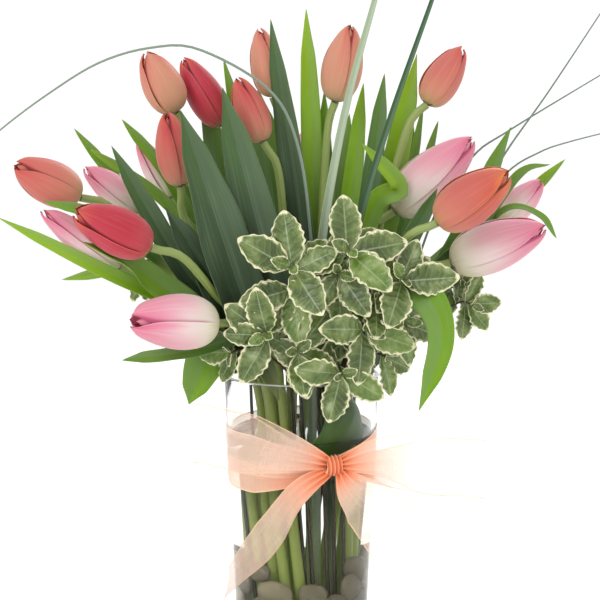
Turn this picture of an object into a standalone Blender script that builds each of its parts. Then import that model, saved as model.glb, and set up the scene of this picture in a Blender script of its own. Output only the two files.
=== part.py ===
"""Tulips in a glass vase, with pittosporum sprigs, grasses, pebbles and an organza bow.

The origin is the middle of the vase's underside, +Z is up and -Y is the front. Sizes in the tables are
millimetres. Stems, twigs and grasses stand in the vase in a loose spiral, each in its own place on the
vase floor, and fan out above its neck. Where a leaf could touch a neighbour, it takes the first of a few
small turns and shifts that leaves it clear.
"""
import itertools
import math

import bmesh
import bpy
from mathutils import Matrix, Vector
from mathutils.bvhtree import BVHTree

MM = 0.001
CLEAR = 0.35                    # free air kept between two pieces

# Vase: a slightly flared tumbler with a thick floor
VASE_HEIGHT = 180
VASE_FOOT_RADIUS = 42.6
VASE_RIM_RADIUS = 51
VASE_WALL = 2.8
VASE_FLOOR = 12
VASE_EDGE = 1.4                 # rounding of the rim and the foot
VASE_SEGMENTS = 32
VASE_WALL_STATIONS = (60, 120) # heights of the rings between the foot and the rim
VASE_FILLET = 4                 # slope between the floor and the wall inside

# Pebble bed: a ring of stones between the feet of the stems and the glass
PEBBLE_INNER_RADIUS = 29.5
PEBBLE_TOP = 50
PEBBLE_LUMP = 5                 # how far the top of the bed rises and falls
PEBBLE_GAP = 1.35               # between the bed and the glass, whose flat facets cut in a little

# Bunch: where stems stand on the floor and pass the neck
FOOT_LIMIT = 26                 # radius of the circle that holds every stem's foot
FOOT_GAP = 1.3
FOOT_LIFT = 0.9                 # a leaning stem's middle stands this far off the floor
SPIRAL = math.radians(30)       # turn of the whole bunch between its neck and its feet
NECK_SPREAD = 1.5
WISH_SHARE = 0.27               # how far out a foot would stand, as a share of its flower's place

STEM_RADIUS = 3.3
STEM_TOP_RADIUS = 2.6
STEM_SIDES = 6
STEM_STATIONS = 9
FLOWER_SIDES = 8
# A tulip head's half width at shares of its length: it swells, then draws in to a blunt tip
FLOWER_PROFILE = [(0.0, 0.2), (0.06, 0.6), (0.2, 0.91), (0.4, 1.02), (0.62, 0.92), (0.84, 0.57), (1.0, 0.1)]
LEAF_THICKNESS = 1.3
LEAF_ROOT_WIDTH = 4.6
LEAF_FOLD = 0.22                # how far a leaf's margins rise, as a share of its half width
LEAF_STATIONS = 8
LEAF_BELLY = 0.42               # where a leaf is widest, as a share of its length
GRASS_STATIONS = 20
NEEDLE_STATIONS = 12
TWIG_RADIUS = 1.3
TWIG_STATIONS = 11
TWIG_SIDES = 5
SIDE_TWIG_RADIUS = 0.9
SIDE_TWIG_STATIONS = 7
SIDE_TWIG_SIDES = 4
FORK_HEIGHT = 186               # where side twigs leave the main twig, just above the neck
SPRIG_LEAF_THICKNESS = 1.2
GOLDEN_ANGLE = math.radians(137.5)

# Tulips: (middle of the flower's base, its tip, its width)
TULIPS = {
    1: ((-82, 13, 350), (-101, 7, 389), 26),
    2: ((-52, 25, 341), (-79, 27, 386), 24),
    3: ((-78, -5, 303), (-87, -10, 351), 24),
    4: ((-25, 0, 331), (-42, 0, 373), 22),
    5: ((-19, 25, 360), (-28, 25, 405), 21),
    6: ((22, 10, 357), (32, 5, 407), 26),
    7: ((82, 15, 355), (106, 20, 393), 24),
    8: ((-142, -15, 296), (-182, -30, 318), 28),
    9: ((-93, -60, 268), (-139, -75, 292), 29),
    10: ((-107, 10, 286), (-142, 5, 315), 20),
    11: ((-115, -30, 252), (-164, -35, 290), 20),
    12: ((-88, 50, 292), (-111, 55, 332), 18),
    13: ((-52, -62, 221), (-105, -85, 226), 34),
    14: ((60, 0, 286), (112, 0, 334), 33),
    15: ((84, -55, 283), (127, -70, 315), 31),
    16: ((95, -25, 255), (156, -30, 279), 32),
    17: ((133, 35, 276), (162, 41, 304), 21),
    18: ((-56, 62, 268), (-84, 92, 306), 26),
    19: ((2, 66, 292), (6, 88, 339), 27),
    20: ((62, 64, 272), (92, 88, 311), 26),
}

# Leaves: (tulip that carries it, height of its root, points it passes, tip, width, way its upper side
# faces; where it twists, at its root and at its tip)
LEAVES = [
    (13, 165, [(-31, -40, 215)], (-76, -32, 352), 34, [(0.1, -1, 0.1)]),
    (4, 180, [(-17, -24, 234)], (-50, -20, 366), 29, [(-0.1, -1, 0)]),
    (4, 190, [(-12, -8, 222)], (-46, -6, 308), 24, [(0.3, -1, 0)]),
    (10, 200, [(-73, -16, 246), (-100, -18, 291)], (-121, -18, 329), 16, [(0.2, -1, 0.4)]),
    (9, 178, [(-45, -48, 226)], (-86, -42, 291), 25, [(-0.1, -1, 0.2)]),
    (8, 184, [(-50, -22, 216), (-90, -34, 235), (-122, -45, 251)], (-191, -38, 285), 17, [(0.1, -0.9, 0.5)]),
    (9, 186, [(-56, -48, 216), (-97, -58, 249)], (-133, -88, 273), 19, [(-0.2, -0.8, 0.7)]),
    (12, 225, [(-92, 14, 247)], (-161, 18, 238), 11, [(0, -0.7, 0.7)]),
    (13, 186, [(-70, -46, 203)], (-112, -44, 197), 11, [(0, -0.8, 0.6)]),
    (9, 190, [(-52, -48, 206), (-63, -52, 189)], (-72, -52, 165), 28, [(-0.3, -0.9, 0.2)]),
    (5, 214, [(8, 16, 256)], (3, 20, 417), 15, [(0.1, -1, 0)]),
    (5, 190, [(2, 6, 250)], (-20, 11, 410), 18, [(-0.3, -1, 0)]),
    (6, 214, [(17, 18, 259)], (15, 24, 364), 13, [(0.2, -1, 0)]),
    (6, 204, [(28, 22, 259)], (41, 29, 369), 14, [(-0.2, -1, 0)]),
    (7, 206, [(40, 4, 256)], (54, 12, 375), 14, [(0.3, -1, 0)]),
    (7, 190, [(47, 12, 250)], (76, 26, 388), 20, [(0.2, -1, 0)]),
    (14, 214, [(62, 18, 262)], (82, 30, 354), 8, [(0, -1, 0)]),
    (17, 214, [(68, 30, 262)], (92, 45, 344), 7, [(0.2, -1, 0)]),
    (15, 200, [(88, -8, 245)], (135, 0, 341), 15, [(0, -1, 0.1)]),
    (17, 236, [(140, 58, 283), (158, 55, 297)], (178, 46, 318), 11, [(0, -0.8, 0.5)]),
    (16, 226, [(112, 8, 271), (143, 12, 310)], (163, 13, 316), 8, [(0, -0.9, 0.5)]),
    (14, 222, [(46, -15, 290), (62, -21, 303)], (38, -24, 331), 15, [(0.3, -1, 0.2)]),
    (16, 205, [(62, -42, 258)], (85, -42, 303), 13, [(0.2, -1, 0)]),
    (15, 196, [(60, -46, 236), (80, -64, 234), (86, -70, 208)], (73, -62, 166), 22,
     [(-0.4, 0.2, 0.9), (0.3, -1, 0)]),
    (17, 238, [(133, 6, 287), (156, 6, 283)], (167, 6, 268), 5, [(0, -0.7, 0.7)]),
    (10, 236, [(-103, 26, 281)], (-151, 30, 339), 9, [(0, -1, 0.3)]),
    (12, 250, [(-86, 36, 302)], (-120, 38, 345), 9, [(0, -1, 0.2)]),
    (1, 240, [(-92, 24, 292)], (-140, 22, 326), 8, [(0, -1, 0.3)]),
    (4, 218, [(-22, 14, 262)], (-51, 16, 385), 11, [(0.2, -1, 0)]),
    (8, 246, [(-124, -42, 284)], (-160, -50, 296), 9, [(0, -0.9, 0.4)]),
    (16, 190, [(66, -26, 222)], (103, -14, 270), 18, [(0.1, -1, 0.2)]),
    (18, 205, [(-52, 48, 240)], (-104, 78, 322), 26, [(-0.3, 1, 0.1)]),
    (19, 215, [(-14, 62, 262)], (-30, 84, 366), 28, [(0, 1, 0)]),
    (19, 200, [(18, 60, 250)], (34, 102, 348), 24, [(0.2, 1, 0.1)]),
    (20, 205, [(52, 44, 250)], (76, 66, 352), 24, [(0.2, 1, 0)]),
    (20, 190, [(66, 52, 225)], (124, 86, 268), 24, [(-0.4, -0.3, 1)]),
    (18, 190, [(-50, 50, 222)], (-118, 88, 258), 22, [(0.4, -0.3, 1)]),
    (12, 205, [(-62, 34, 240)], (-100, 62, 300), 18, [(0.6, -0.6, 0.8)]),
    (1, 200, [(-46, 26, 262)], (-66, 40, 372), 20, [(-0.4, 0.9, 0)]),
    (18, 185, [(-26, 58, 222)], (-44, 106, 258), 24, [(0, -0.6, 0.8)]),
    (20, 184, [(30, 56, 218)], (52, 108, 246), 22, [(0, -0.5, 0.85)]),
    (15, 172, [(33, -33, 158), (22, -39, 138)], (2, -43, 116), 36, [(-0.5, 1, 0)]),
]

# Broad grasses: (points above the neck, width at the middle)
GRASSES = {
    "grass_arc": ([(8, -14, 214), (6, -22, 270), (-2, -28, 328), (-20, -36, 364), (-63, -44, 389),
                   (-93, -47, 390), (-124, -50, 381), (-154, -52, 363), (-185, -55, 340),
                   (-214, -56, 314)], 3.4),
    "grass_pale": ([(10, -20, 214), (13, -27, 270), (27, -33, 350), (45, -39, 419), (58, -43, 466)], 6),
    "grass_dark": ([(27, -24, 214), (36, -33, 280), (55, -39, 346), (80, -45, 419), (93, -48, 458)], 4.8),
}
NEEDLES = {
    "needle_grass_1": ([(54, -16, 204), (83, -12, 235), (113, 0, 290), (134, 9, 325), (162, 16, 364),
                        (206, 24, 430)], 1.5),
    "needle_grass_2": ([(57, -8, 200), (86, 8, 280), (112, 18, 320), (137, 22, 338), (198, 34, 374),
                        (222, 37, 388)], 1.5),
    "needle_grass_3": ([(60, -2, 198), (100, 20, 268), (135, 24, 309), (157, 27, 323), (177, 30, 330),
                        (222, 36, 341)], 1.5),
}

# Sprigs: rosettes as (middle, way it opens, ways its outer leaves point, leaf length); a way is an angle
# round the opening, in degrees, from +X towards +Z where the rosette opens to the front
SPRIGS = {
    "sprig_front_left": [((-6, -65, 257), (-0.1, -0.95, 0.3), (98, 150, -58, 24), 39),
                         ((-5, -62, 242), (-0.1, -1, 0), (-125, -84, -165), 36)],
    "sprig_front_middle": [((29, -62, 267), (0.1, -0.95, 0.3), (94, 10, -46, -165), 38),
                           ((23, -60, 252), (0, -1, 0.1), (-88, -122, -55), 34)],
    "sprig_front_right": [((63, -60, 249), (0.25, -0.9, 0.3), (71, 2, -112, 140), 37),
                          ((47, -58, 236), (0.3, -0.9, 0.1), (-60, -100, 170), 29),
                          ((64, -48, 220), (0.6, -0.8, 0.1), (-75, -20, 60), 30)],
    "sprig_low": [((40, -61, 218), (0.3, -0.95, 0), (-96, -20, 175), 35),
                  ((25, -62, 189), (0.1, -0.95, -0.2), (-34, -105, 165), 33),
                  ((52, -46, 198), (0.6, -0.8, -0.1), (-30, -80, 30), 28)],
    "sprig_left_low": [((-22, -66, 215), (-0.2, -0.95, 0.1), (142, 98, 178, -120), 34),
                       ((-3, -66, 204), (0, -1, 0.1), (-28, 70, -80), 36),
                       ((-44, -57, 202), (-0.7, -0.7, -0.1), (-120, 160, -170), 27)],
    "sprig_left": [((-104, 8, 250), (-0.6, -0.75, 0.1), (200, 245, 290, 150, 20), 25)],
    "sprig_right": [((104, 10, 238), (0.6, -0.75, 0.2), (-20, 30, -70, -120, 110), 26),
                    ((110, -8, 226), (0.6, -0.8, 0), (-100, -50, 0, 60), 24)],
    "sprig_back_left": [((-42, 58, 236), (-0.3, 0.9, 0.3), (10, 80, 150, 220, 290), 36)],
    "sprig_back_middle": [((-2, 62, 236), (0, 0.95, 0.3), (45, 110, 190, 260, 330), 36)],
    "sprig_back_right": [((38, 60, 238), (0.3, 0.9, 0.3), (20, 90, 165, 235, 305), 36),
                         ((72, 38, 222), (0.8, 0.5, 0.2), (0, 75, 150, 220, 290), 31)],
}
INNER_LEAVES = 2                # young leaves in the middle of each rosette
BACK_LEAVES = 2                 # older leaves on the twig behind each rosette
SPRIG_LEAF_BEND = 0.1           # how far a leaf bends back, as a share of its length

# Ribbon: 38 mm organza, tied in front of the vase
RIBBON_HALF_WIDTH = 19
RIBBON_THICKNESS = 0.6
RIBBON_PINCH = 5                # half width of the band under the knot
RIBBON_DRAWN = 3.5              # half width of a loop or a tail where it leaves the knot
TAIL_HALF_WIDTH = 16
LOOP_STATIONS = 17
TAIL_STATIONS = 8
BAND_HEIGHT = 127
BAND_GAP = 0.7                  # between the glass and the band, whose flat facets cut in a little
BAND_START = 2                  # degrees from the knot's middle to each end of the band
KNOT_ANGLE = math.radians(-67)
KNOT_SIZE = (7.5, 4.5, 7.5)     # half width, half depth, half height


# ---------------------------------------------------------------- curves and solids

def through(points, count):
    """Return points evenly spaced along a smooth curve through the given ones."""
    pts = [Vector(p) for p in points]
    pts = [2 * pts[0] - pts[1]] + pts + [2 * pts[-1] - pts[-2]]
    fine = []
    for a, b, c, d in zip(pts, pts[1:], pts[2:], pts[3:]):
        for step in range(16):
            t = step / 16
            fine.append(0.5 * (2 * b + (c - a) * t + (2 * a - 5 * b + 4 * c - d) * t ** 2
                               + (3 * b - a - 3 * c + d) * t ** 3))
    fine.append(pts[-2])
    lengths = [0.0]
    for a, b in zip(fine, fine[1:]):
        lengths.append(lengths[-1] + (b - a).length)
    result, k = [], 0
    for i in range(count):
        want = lengths[-1] * i / (count - 1)
        while k < len(fine) - 2 and lengths[k + 1] < want:
            k += 1
        share = (want - lengths[k]) / (lengths[k + 1] - lengths[k])
        result.append(fine[k].lerp(fine[k + 1], share))
    return result


def tangents(path):
    """Return the direction of a path at each of its points."""
    last = len(path) - 1
    return [(path[min(i + 1, last)] - path[max(i - 1, 0)]).normalized() for i in range(last + 1)]


def loft(rings):
    """Return the vertices and faces of a closed solid through rings of equal length."""
    n = len(rings[0])
    verts = [p for ring in rings for p in ring]
    faces = [tuple(range(n))[::-1], tuple(range(len(verts) - n, len(verts)))]
    for r in range(len(rings) - 1):
        for i in range(n):
            j = (i + 1) % n
            faces.append((r * n + i, r * n + j, (r + 1) * n + j, (r + 1) * n + i))
    return verts, faces


def tube(path, radii, sides):
    """Return a round solid along a path, with its rings kept from twisting."""
    rings, across = [], Vector((1, 0, 0))
    for point, along, radius in zip(path, tangents(path), radii):
        across = (across - along * across.dot(along)).normalized()
        other = along.cross(across)
        rings.append([point + radius * (math.cos(a) * across + math.sin(a) * other)
                      for a in (math.tau * k / sides for k in range(sides))])
    return loft(rings)


def blade(path, widths, faces, fold, thickness):
    """Return a thin leaf along a path: sharp margins and a thicker, sunken midrib."""
    rings = []
    for index, (point, along, width) in enumerate(zip(path, tangents(path), widths)):
        face = Vector(faces[0]).lerp(Vector(faces[-1]), index / (len(path) - 1))
        side = along.cross(face).normalized()
        out = side.cross(along)
        lift = out * (fold * width / 2)
        rings.append([point + side * (width / 2) + lift, point + out * (thickness / 2),
                      point - side * (width / 2) + lift, point - out * (thickness / 2)])
    return loft(rings)


# ---------------------------------------------------------------- one solid clear of another

placed = []                     # (tree, low corner, high corner, owner) of every solid so far


def tree_of(solid):
    """Return a search tree of a solid with the corners of its box."""
    verts, faces = solid
    low = Vector([min(v[k] for v in verts) for k in range(3)])
    high = Vector([max(v[k] for v in verts) for k in range(3)])
    return BVHTree.FromPolygons(verts, faces), low, high


def is_clear(solid, friend):
    """Tell whether a solid touches nothing but what its friend has placed."""
    tree, low, high = tree_of(solid)
    for other, other_low, other_high, owner in placed:
        if owner == friend:
            continue
        if any(high[k] < other_low[k] or low[k] > other_high[k] for k in range(3)):
            continue
        if tree.overlap(other):
            return False
    return True


def place(solid, owner):
    """Keep a solid as placed and return it."""
    placed.append((*tree_of(solid), owner))
    return solid


def settle(make, choices, owner, friend=None):
    """Place the first choice that is clear of all but its friend; make(choice, extra) gives its solid."""
    for choice in choices:
        if is_clear(make(choice, CLEAR), friend):
            return place(make(choice, 0), owner), choice
    return None, None


# ---------------------------------------------------------------- objects

def material(name, colour, roughness, alpha=1):
    """Return a material with a plain colour."""
    mat = bpy.data.materials.new(name)
    mat.use_nodes = True
    shader = mat.node_tree.nodes["Principled BSDF"]
    shader.inputs["Base Color"].default_value = (*colour, 1)
    shader.inputs["Roughness"].default_value = roughness
    shader.inputs["Alpha"].default_value = alpha
    mat.diffuse_color = (*colour, alpha)
    return mat


def add_object(name, solid, mat):
    """Add a closed solid, given in millimetres, as an object with its faces outward."""
    verts, faces = solid
    mesh = bpy.data.meshes.new(name)
    mesh.from_pydata([v * MM for v in verts], [], faces)
    bm = bmesh.new()
    bm.from_mesh(mesh)
    bmesh.ops.triangulate(bm, faces=bm.faces)
    bmesh.ops.recalc_face_normals(bm, faces=bm.faces)
    bm.to_mesh(mesh)
    bm.free()
    mesh.materials.append(mat)
    obj = bpy.data.objects.new(name, mesh)
    bpy.context.scene.collection.objects.link(obj)
    return obj


def add_joined(name, solids, mat):
    """Add solids that grow into each other as one body, joined by a Boolean union."""
    body = add_object(name, solids[0], mat)
    if len(solids) == 1:
        return body
    group = bpy.data.collections.new(f"{name}_grown_on")
    bpy.context.scene.collection.children.link(group)
    for index, solid in enumerate(solids[1:]):
        piece = add_object(f"{name}_{index}", solid, mat)
        bpy.context.scene.collection.objects.unlink(piece)
        group.objects.link(piece)
        piece.hide_render = True
        piece.display_type = "WIRE"
    union = body.modifiers.new("grown together", "BOOLEAN")
    union.operation = "UNION"
    union.operand_type = "COLLECTION"
    union.collection = group
    union.solver = "EXACT"
    return body


# ---------------------------------------------------------------- vase and pebbles

def vase_radius(height):
    """Return the outer radius of the vase at a height."""
    return VASE_FOOT_RADIUS + (VASE_RIM_RADIUS - VASE_FOOT_RADIUS) * height / VASE_HEIGHT


def vase_solid():
    """Return the vase: a flared wall on a thick floor, made by turning one outline."""
    wall = [(vase_radius(VASE_EDGE), VASE_EDGE)]
    wall += [(vase_radius(z), z) for z in (*VASE_WALL_STATIONS, VASE_HEIGHT - VASE_EDGE)]
    rim = [(VASE_RIM_RADIUS - VASE_WALL / 2, VASE_HEIGHT)]
    inside = [(vase_radius(z) - VASE_WALL, z)
              for z in (VASE_HEIGHT - VASE_EDGE, *VASE_WALL_STATIONS[::-1], VASE_FLOOR + VASE_FILLET)]
    outline = wall + rim + inside + [(vase_radius(VASE_FLOOR) - VASE_WALL - VASE_FILLET, VASE_FLOOR)]
    n = len(outline) + 1
    verts, faces = [], []
    for s in range(VASE_SEGMENTS):
        angle = math.tau * s / VASE_SEGMENTS
        ring = [(VASE_FOOT_RADIUS - VASE_EDGE, 0)] + outline
        verts += [Vector((r * math.cos(angle), r * math.sin(angle), z)) for r, z in ring]
    for s in range(VASE_SEGMENTS):
        a, b = s * n, (s + 1) % VASE_SEGMENTS * n
        faces += [(a + i, b + i, b + i + 1, a + i + 1) for i in range(n - 1)]
    faces.append(tuple(s * n for s in range(VASE_SEGMENTS))[::-1])
    faces.append(tuple(s * n + n - 1 for s in range(VASE_SEGMENTS)))
    return verts, faces


def pebble_solid():
    """Return the bed of pebbles: a ring with a lumpy top between the stems and the glass."""
    verts, faces = [], []
    for s in range(VASE_SEGMENTS):
        angle = math.tau * s / VASE_SEGMENTS
        top = PEBBLE_TOP + PEBBLE_LUMP * math.cos(5 * angle) * math.cos(3 * angle + 1)
        outer_low = vase_radius(VASE_FLOOR + 5) - VASE_WALL - PEBBLE_GAP
        outer_top = vase_radius(top) - VASE_WALL - PEBBLE_GAP
        ring = [(PEBBLE_INNER_RADIUS, VASE_FLOOR + CLEAR), (outer_low - 5, VASE_FLOOR + CLEAR),
                (outer_low, VASE_FLOOR + 6), (outer_top, top - 5), (outer_top - 4, top),
                (PEBBLE_INNER_RADIUS, top - 3)]
        verts += [Vector((r * math.cos(angle), r * math.sin(angle), z)) for r, z in ring]
    n = len(ring)
    for s in range(VASE_SEGMENTS):
        a, b = s * n, (s + 1) % VASE_SEGMENTS * n
        faces += [(a + i, b + i, b + (i + 1) % n, a + (i + 1) % n) for i in range(n)]
    return verts, faces


# ---------------------------------------------------------------- standing places in the vase

def spaced_out(wishes, radii):
    """Return places near the wished ones that are far enough apart, inside the foot circle."""
    spots = [Vector(w) for w in wishes]
    for _ in range(600):
        for i, j in itertools.combinations(range(len(spots)), 2):
            apart = spots[j] - spots[i]
            missing = radii[i] + radii[j] + FOOT_GAP - apart.length
            if missing > 0:
                push = apart.normalized() * (missing / 2)
                spots[i] -= push
                spots[j] += push
        for i, spot in enumerate(spots):
            limit = FOOT_LIMIT - radii[i]
            if spot.length > limit:
                spots[i] = spot * (limit / spot.length)
    return spots


def standing_places():
    """Return (foot, neck) points for every stem, grass and sprig, by name."""
    names, wishes, radii = [], [], []
    turn = Matrix.Rotation(SPIRAL, 2)

    def wish(name, target, radius):
        names.append(name)
        wishes.append(turn @ (Vector(target[:2]) * WISH_SHARE))
        radii.append(radius)

    for number, (base, tip, _) in TULIPS.items():
        wish(number, base, STEM_RADIUS)
    for name, (points, width) in {**GRASSES, **NEEDLES}.items():
        wish(name, Vector(points[1]) * 1.1, width / 3)
    for name, rosettes in SPRIGS.items():
        wish(name, Vector(rosettes[0][0]), TWIG_RADIUS)
    back = Matrix.Rotation(-SPIRAL, 2)
    places = {}
    for name, spot in zip(names, spaced_out(wishes, radii)):
        neck = back @ spot * NECK_SPREAD
        places[name] = (Vector((*spot, VASE_FLOOR + FOOT_LIFT)), Vector((*neck, VASE_HEIGHT)))
    return places


# ---------------------------------------------------------------- tulips

def flower_solid(base, tip, width, extra=0):
    """Return a closed tulip head: a rounded cup that draws in to a blunt tip."""
    axis = Vector(tip) - Vector(base)
    across = axis.orthogonal().normalized()
    other = axis.normalized().cross(across)
    rings = []
    for share, size in FLOWER_PROFILE:
        radius = size * width / 2 + extra
        rings.append([Vector(base) + axis * share
                      + radius * (math.cos(a) * across + math.sin(a) * other)
                      for a in (math.tau * k / FLOWER_SIDES for k in range(FLOWER_SIDES))])
    return loft(rings)


def stem_path(foot, neck, base, tip, choice):
    """Return a stem's middle line: straight up the vase, then bending into the flower's axis."""
    reach, shift = choice
    axis = (Vector(tip) - Vector(base)).normalized()
    top = Vector(base) - axis * CLEAR
    bend = top - axis * reach + Vector((0, shift, 0))
    return through([foot, foot.lerp(neck, 0.5), neck, bend, top], STEM_STATIONS)


def stem_solid(path, extra=0):
    """Return a stem's solid, slightly thinner at the top."""
    last = len(path) - 1
    radii = [STEM_RADIUS + (STEM_TOP_RADIUS - STEM_RADIUS) * i / last + extra for i in range(last + 1)]
    if extra:
        path, radii = path[:-1], radii[:-1]
    return tube(path, radii, STEM_SIDES)


def leaf_width(share):
    """Return a tulip leaf's width at a share of its length: narrow root, broad belly, long point."""
    if share < LEAF_BELLY:
        return math.sin(share / LEAF_BELLY * math.pi / 2) ** 1.3
    return math.cos((share - LEAF_BELLY) / (1 - LEAF_BELLY) * math.pi / 2) ** 0.75


def leaf_solid(root, points, tip, width, faces, choice, extra=0):
    """Return a tulip leaf that grows from its root through the given points to its tip."""
    shift, turn, length, _ = choice
    tip = Vector(points[-1]).lerp(Vector(tip), length)
    moved = [Vector(p) + Vector((0, shift, 0)) for p in points] + [tip + Vector((0, shift, 0))]
    path = through([root] + moved, LEAF_STATIONS)
    facing = [Matrix.Rotation(turn, 3, "Z") @ Vector(face) for face in faces]
    widths = []
    for i in range(LEAF_STATIONS):
        grown = LEAF_ROOT_WIDTH + (width - LEAF_ROOT_WIDTH) * leaf_width(i / (LEAF_STATIONS - 1))
        widths.append((grown if i < LEAF_STATIONS - 1 else 1) + 2 * extra)
    return blade(path, widths, facing, LEAF_FOLD, LEAF_THICKNESS + 2 * extra)


def root_on(path, height):
    """Return the point of a stem's middle line at a height."""
    for a, b in zip(path, path[1:]):
        if a.z <= height <= b.z:
            return a.lerp(b, (height - a.z) / (b.z - a.z))
    return path[-2]


# ---------------------------------------------------------------- pittosporum sprigs

def back_along(path, distance):
    """Return the point that lies a distance before the end of a path."""
    for a, b in zip(path[::-1], path[-2::-1]):
        step = (b - a).length
        if distance <= step:
            return a.lerp(b, distance / step)
        distance -= step
    return path[0]


def rosette_leaves(rosette):
    """Return (way, lean, length, root's distance from the twig's end) for each leaf of a rosette."""
    _, _, ways, size = rosette
    outer = [(math.radians(way), math.radians(80 - 6 * (i % 3)), size, 8 - 2 * (i % 3))
             for i, way in enumerate(ways)]
    behind = [(math.radians(ways[0] + 40) + GOLDEN_ANGLE * (i + 1), math.radians(92), size * 0.86,
               16 + 3 * i) for i in range(BACK_LEAVES)]
    inner = [(math.radians(ways[0]) + GOLDEN_ANGLE * (i + 0.5), math.radians(48 - 16 * i),
              size * (0.4 - 0.08 * i), 2) for i in range(INNER_LEAVES)]
    return outer + behind + inner


def sprig_leaf(twig, opening, leaf, choice, extra=0):
    """Return one leaf of a rosette; outer leaves lie open and long, young ones stand up short."""
    way, lean, length, back = leaf
    turn, tilt, shorter = choice
    axis = Vector(opening).normalized()
    across = (Vector((1, 0, 0)) - axis * axis.x).normalized()
    out = math.cos(way + turn) * across + math.sin(way + turn) * axis.cross(across)
    along = math.cos(lean + tilt) * axis + math.sin(lean + tilt) * out
    face = math.sin(lean + tilt) * axis - math.cos(lean + tilt) * out
    length *= shorter
    root = back_along(twig, back)
    path = [root + along * (length * s) - face * (SPRIG_LEAF_BEND * length * s * s) for s in (0, 0.55, 1)]
    widths = [w * length + 2 * extra for w in (0.06, 0.54, 0.08)]
    return blade(path, widths, [face], 0.15, SPRIG_LEAF_THICKNESS + 2 * extra)


def main_path(foot, neck, heart, rosette):
    """Return a main twig's middle line from the vase floor into its first rosette."""
    middle, axis = Vector(rosette[0]), Vector(rosette[1]).normalized()
    return through([foot, foot.lerp(neck, 0.5), neck, heart, middle - axis * 14, middle + axis * 2],
                   TWIG_STATIONS)


def side_path(start, bend, rosette):
    """Return a side twig's middle line from the main twig into its rosette."""
    middle, axis = Vector(rosette[0]), Vector(rosette[1]).normalized()
    half_way = start.lerp(middle, 0.5) + Vector((0, 0, 6)) + bend
    return through([start, half_way, middle - axis * 12, middle + axis * 2], SIDE_TWIG_STATIONS)


# ---------------------------------------------------------------- ribbon

def strip(path, ups, half_widths, thickness):
    """Return a flat ribbon solid along a path; ups point along its width."""
    rings = []
    for point, along, up, half in zip(path, tangents(path), ups, half_widths):
        wide = (Vector(up) - along * along.dot(Vector(up))).normalized()
        thin = along.cross(wide) * (thickness / 2)
        rings.append([point - wide * half - thin, point + wide * half - thin,
                      point + wide * half + thin, point - wide * half + thin])
    return loft(rings)


def band_solid():
    """Return the ribbon round the vase, drawn together where its ends meet under the knot."""
    rings = []
    for s in range(VASE_SEGMENTS + 1):
        turned = BAND_START + (360 - 2 * BAND_START) * s / VASE_SEGMENTS
        angle = KNOT_ANGLE + math.radians(turned)
        near = min(turned, 360 - turned)
        half = RIBBON_PINCH + (RIBBON_HALF_WIDTH - RIBBON_PINCH) * min(1, near / 62) ** 0.8
        section = []
        for z, gap in ((-half, BAND_GAP), (half, BAND_GAP), (half, BAND_GAP + RIBBON_THICKNESS),
                       (-half, BAND_GAP + RIBBON_THICKNESS)):
            radius = vase_radius(BAND_HEIGHT + z) + gap
            section.append(Vector((radius * math.cos(angle), radius * math.sin(angle), BAND_HEIGHT + z)))
        rings.append(section)
    return loft(rings)


def knot_middle():
    """Return the middle of the knot, just in front of the band."""
    radius = vase_radius(BAND_HEIGHT) + BAND_GAP + RIBBON_THICKNESS + CLEAR + KNOT_SIZE[1]
    return Vector((radius * math.cos(KNOT_ANGLE), radius * math.sin(KNOT_ANGLE), BAND_HEIGHT + 2))


def knot_solid():
    """Return the knot: a squat rounded lump with a waist."""
    middle = knot_middle()
    turn = Matrix.Rotation(KNOT_ANGLE + math.pi / 2, 3, "Z")
    rings = []
    for share, size in ((-1, 0.55), (-0.8, 0.85), (-0.3, 1), (0.3, 1), (0.8, 0.85), (1, 0.55)):
        rings.append([middle + turn @ Vector((KNOT_SIZE[0] * size * math.cos(a),
                                              KNOT_SIZE[1] * size * math.sin(a), KNOT_SIZE[2] * share))
                      for a in (math.tau * k / 12 for k in range(12))])
    return loft(rings)


def bow_solids():
    """Return the knot, loops and tails; loops and tails start inside the knot."""
    x, y, z = knot_middle()
    left, right = x - KNOT_SIZE[0] / 2, x + KNOT_SIZE[0] / 2
    loops = [
        [(left, y - 1.5, z + 1), (-14, -65, 141), (-44, -69, 149), (-65, -60, 151),
         (-60, -52, 149), (-36, -54, 143), (-12, -56, 135), (left, y + 1.5, z - 1)],
        [(right, y - 1.5, z + 1), (52, -68, 138), (84, -66, 132), (114, -54, 127),
         (106, -44, 126), (76, -46, 127), (48, -52, 128), (right, y + 1.5, z - 1)],
    ]
    tails = [
        ([(x - 3, y - 1, z - 3), (-4, -63, 112), (-27, -69, 80), (-53, -74, 49)], (0.75, -0.65, 0)),
        ([(x + 3, y - 1, z - 3), (32, -61, 116), (44, -62, 104), (59, -63, 82)], (0, -1, 0)),
    ]
    solids = [knot_solid()]
    up = Vector((0, 0, 1))
    for points in loops:
        path = through(points, LOOP_STATIONS)
        halves = []
        for i in range(LOOP_STATIONS):
            near = min(i, LOOP_STATIONS - 1 - i) / (LOOP_STATIONS - 1)
            grown = min(1, near / 0.3) ** 0.8
            halves.append(RIBBON_DRAWN + (RIBBON_HALF_WIDTH - RIBBON_DRAWN) * grown)
        solids.append(strip(path, [up] * LOOP_STATIONS, halves, RIBBON_THICKNESS))
    for points, face in tails:
        path = through(points, TAIL_STATIONS)
        across = [along.cross(Vector(face)) for along in tangents(path)]
        halves = [RIBBON_DRAWN + (TAIL_HALF_WIDTH - RIBBON_DRAWN) * min(1, i / 4)
                  for i in range(TAIL_STATIONS)]
        solids.append(strip(path, across, halves, RIBBON_THICKNESS))
    return solids


# ---------------------------------------------------------------- the whole bunch

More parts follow.
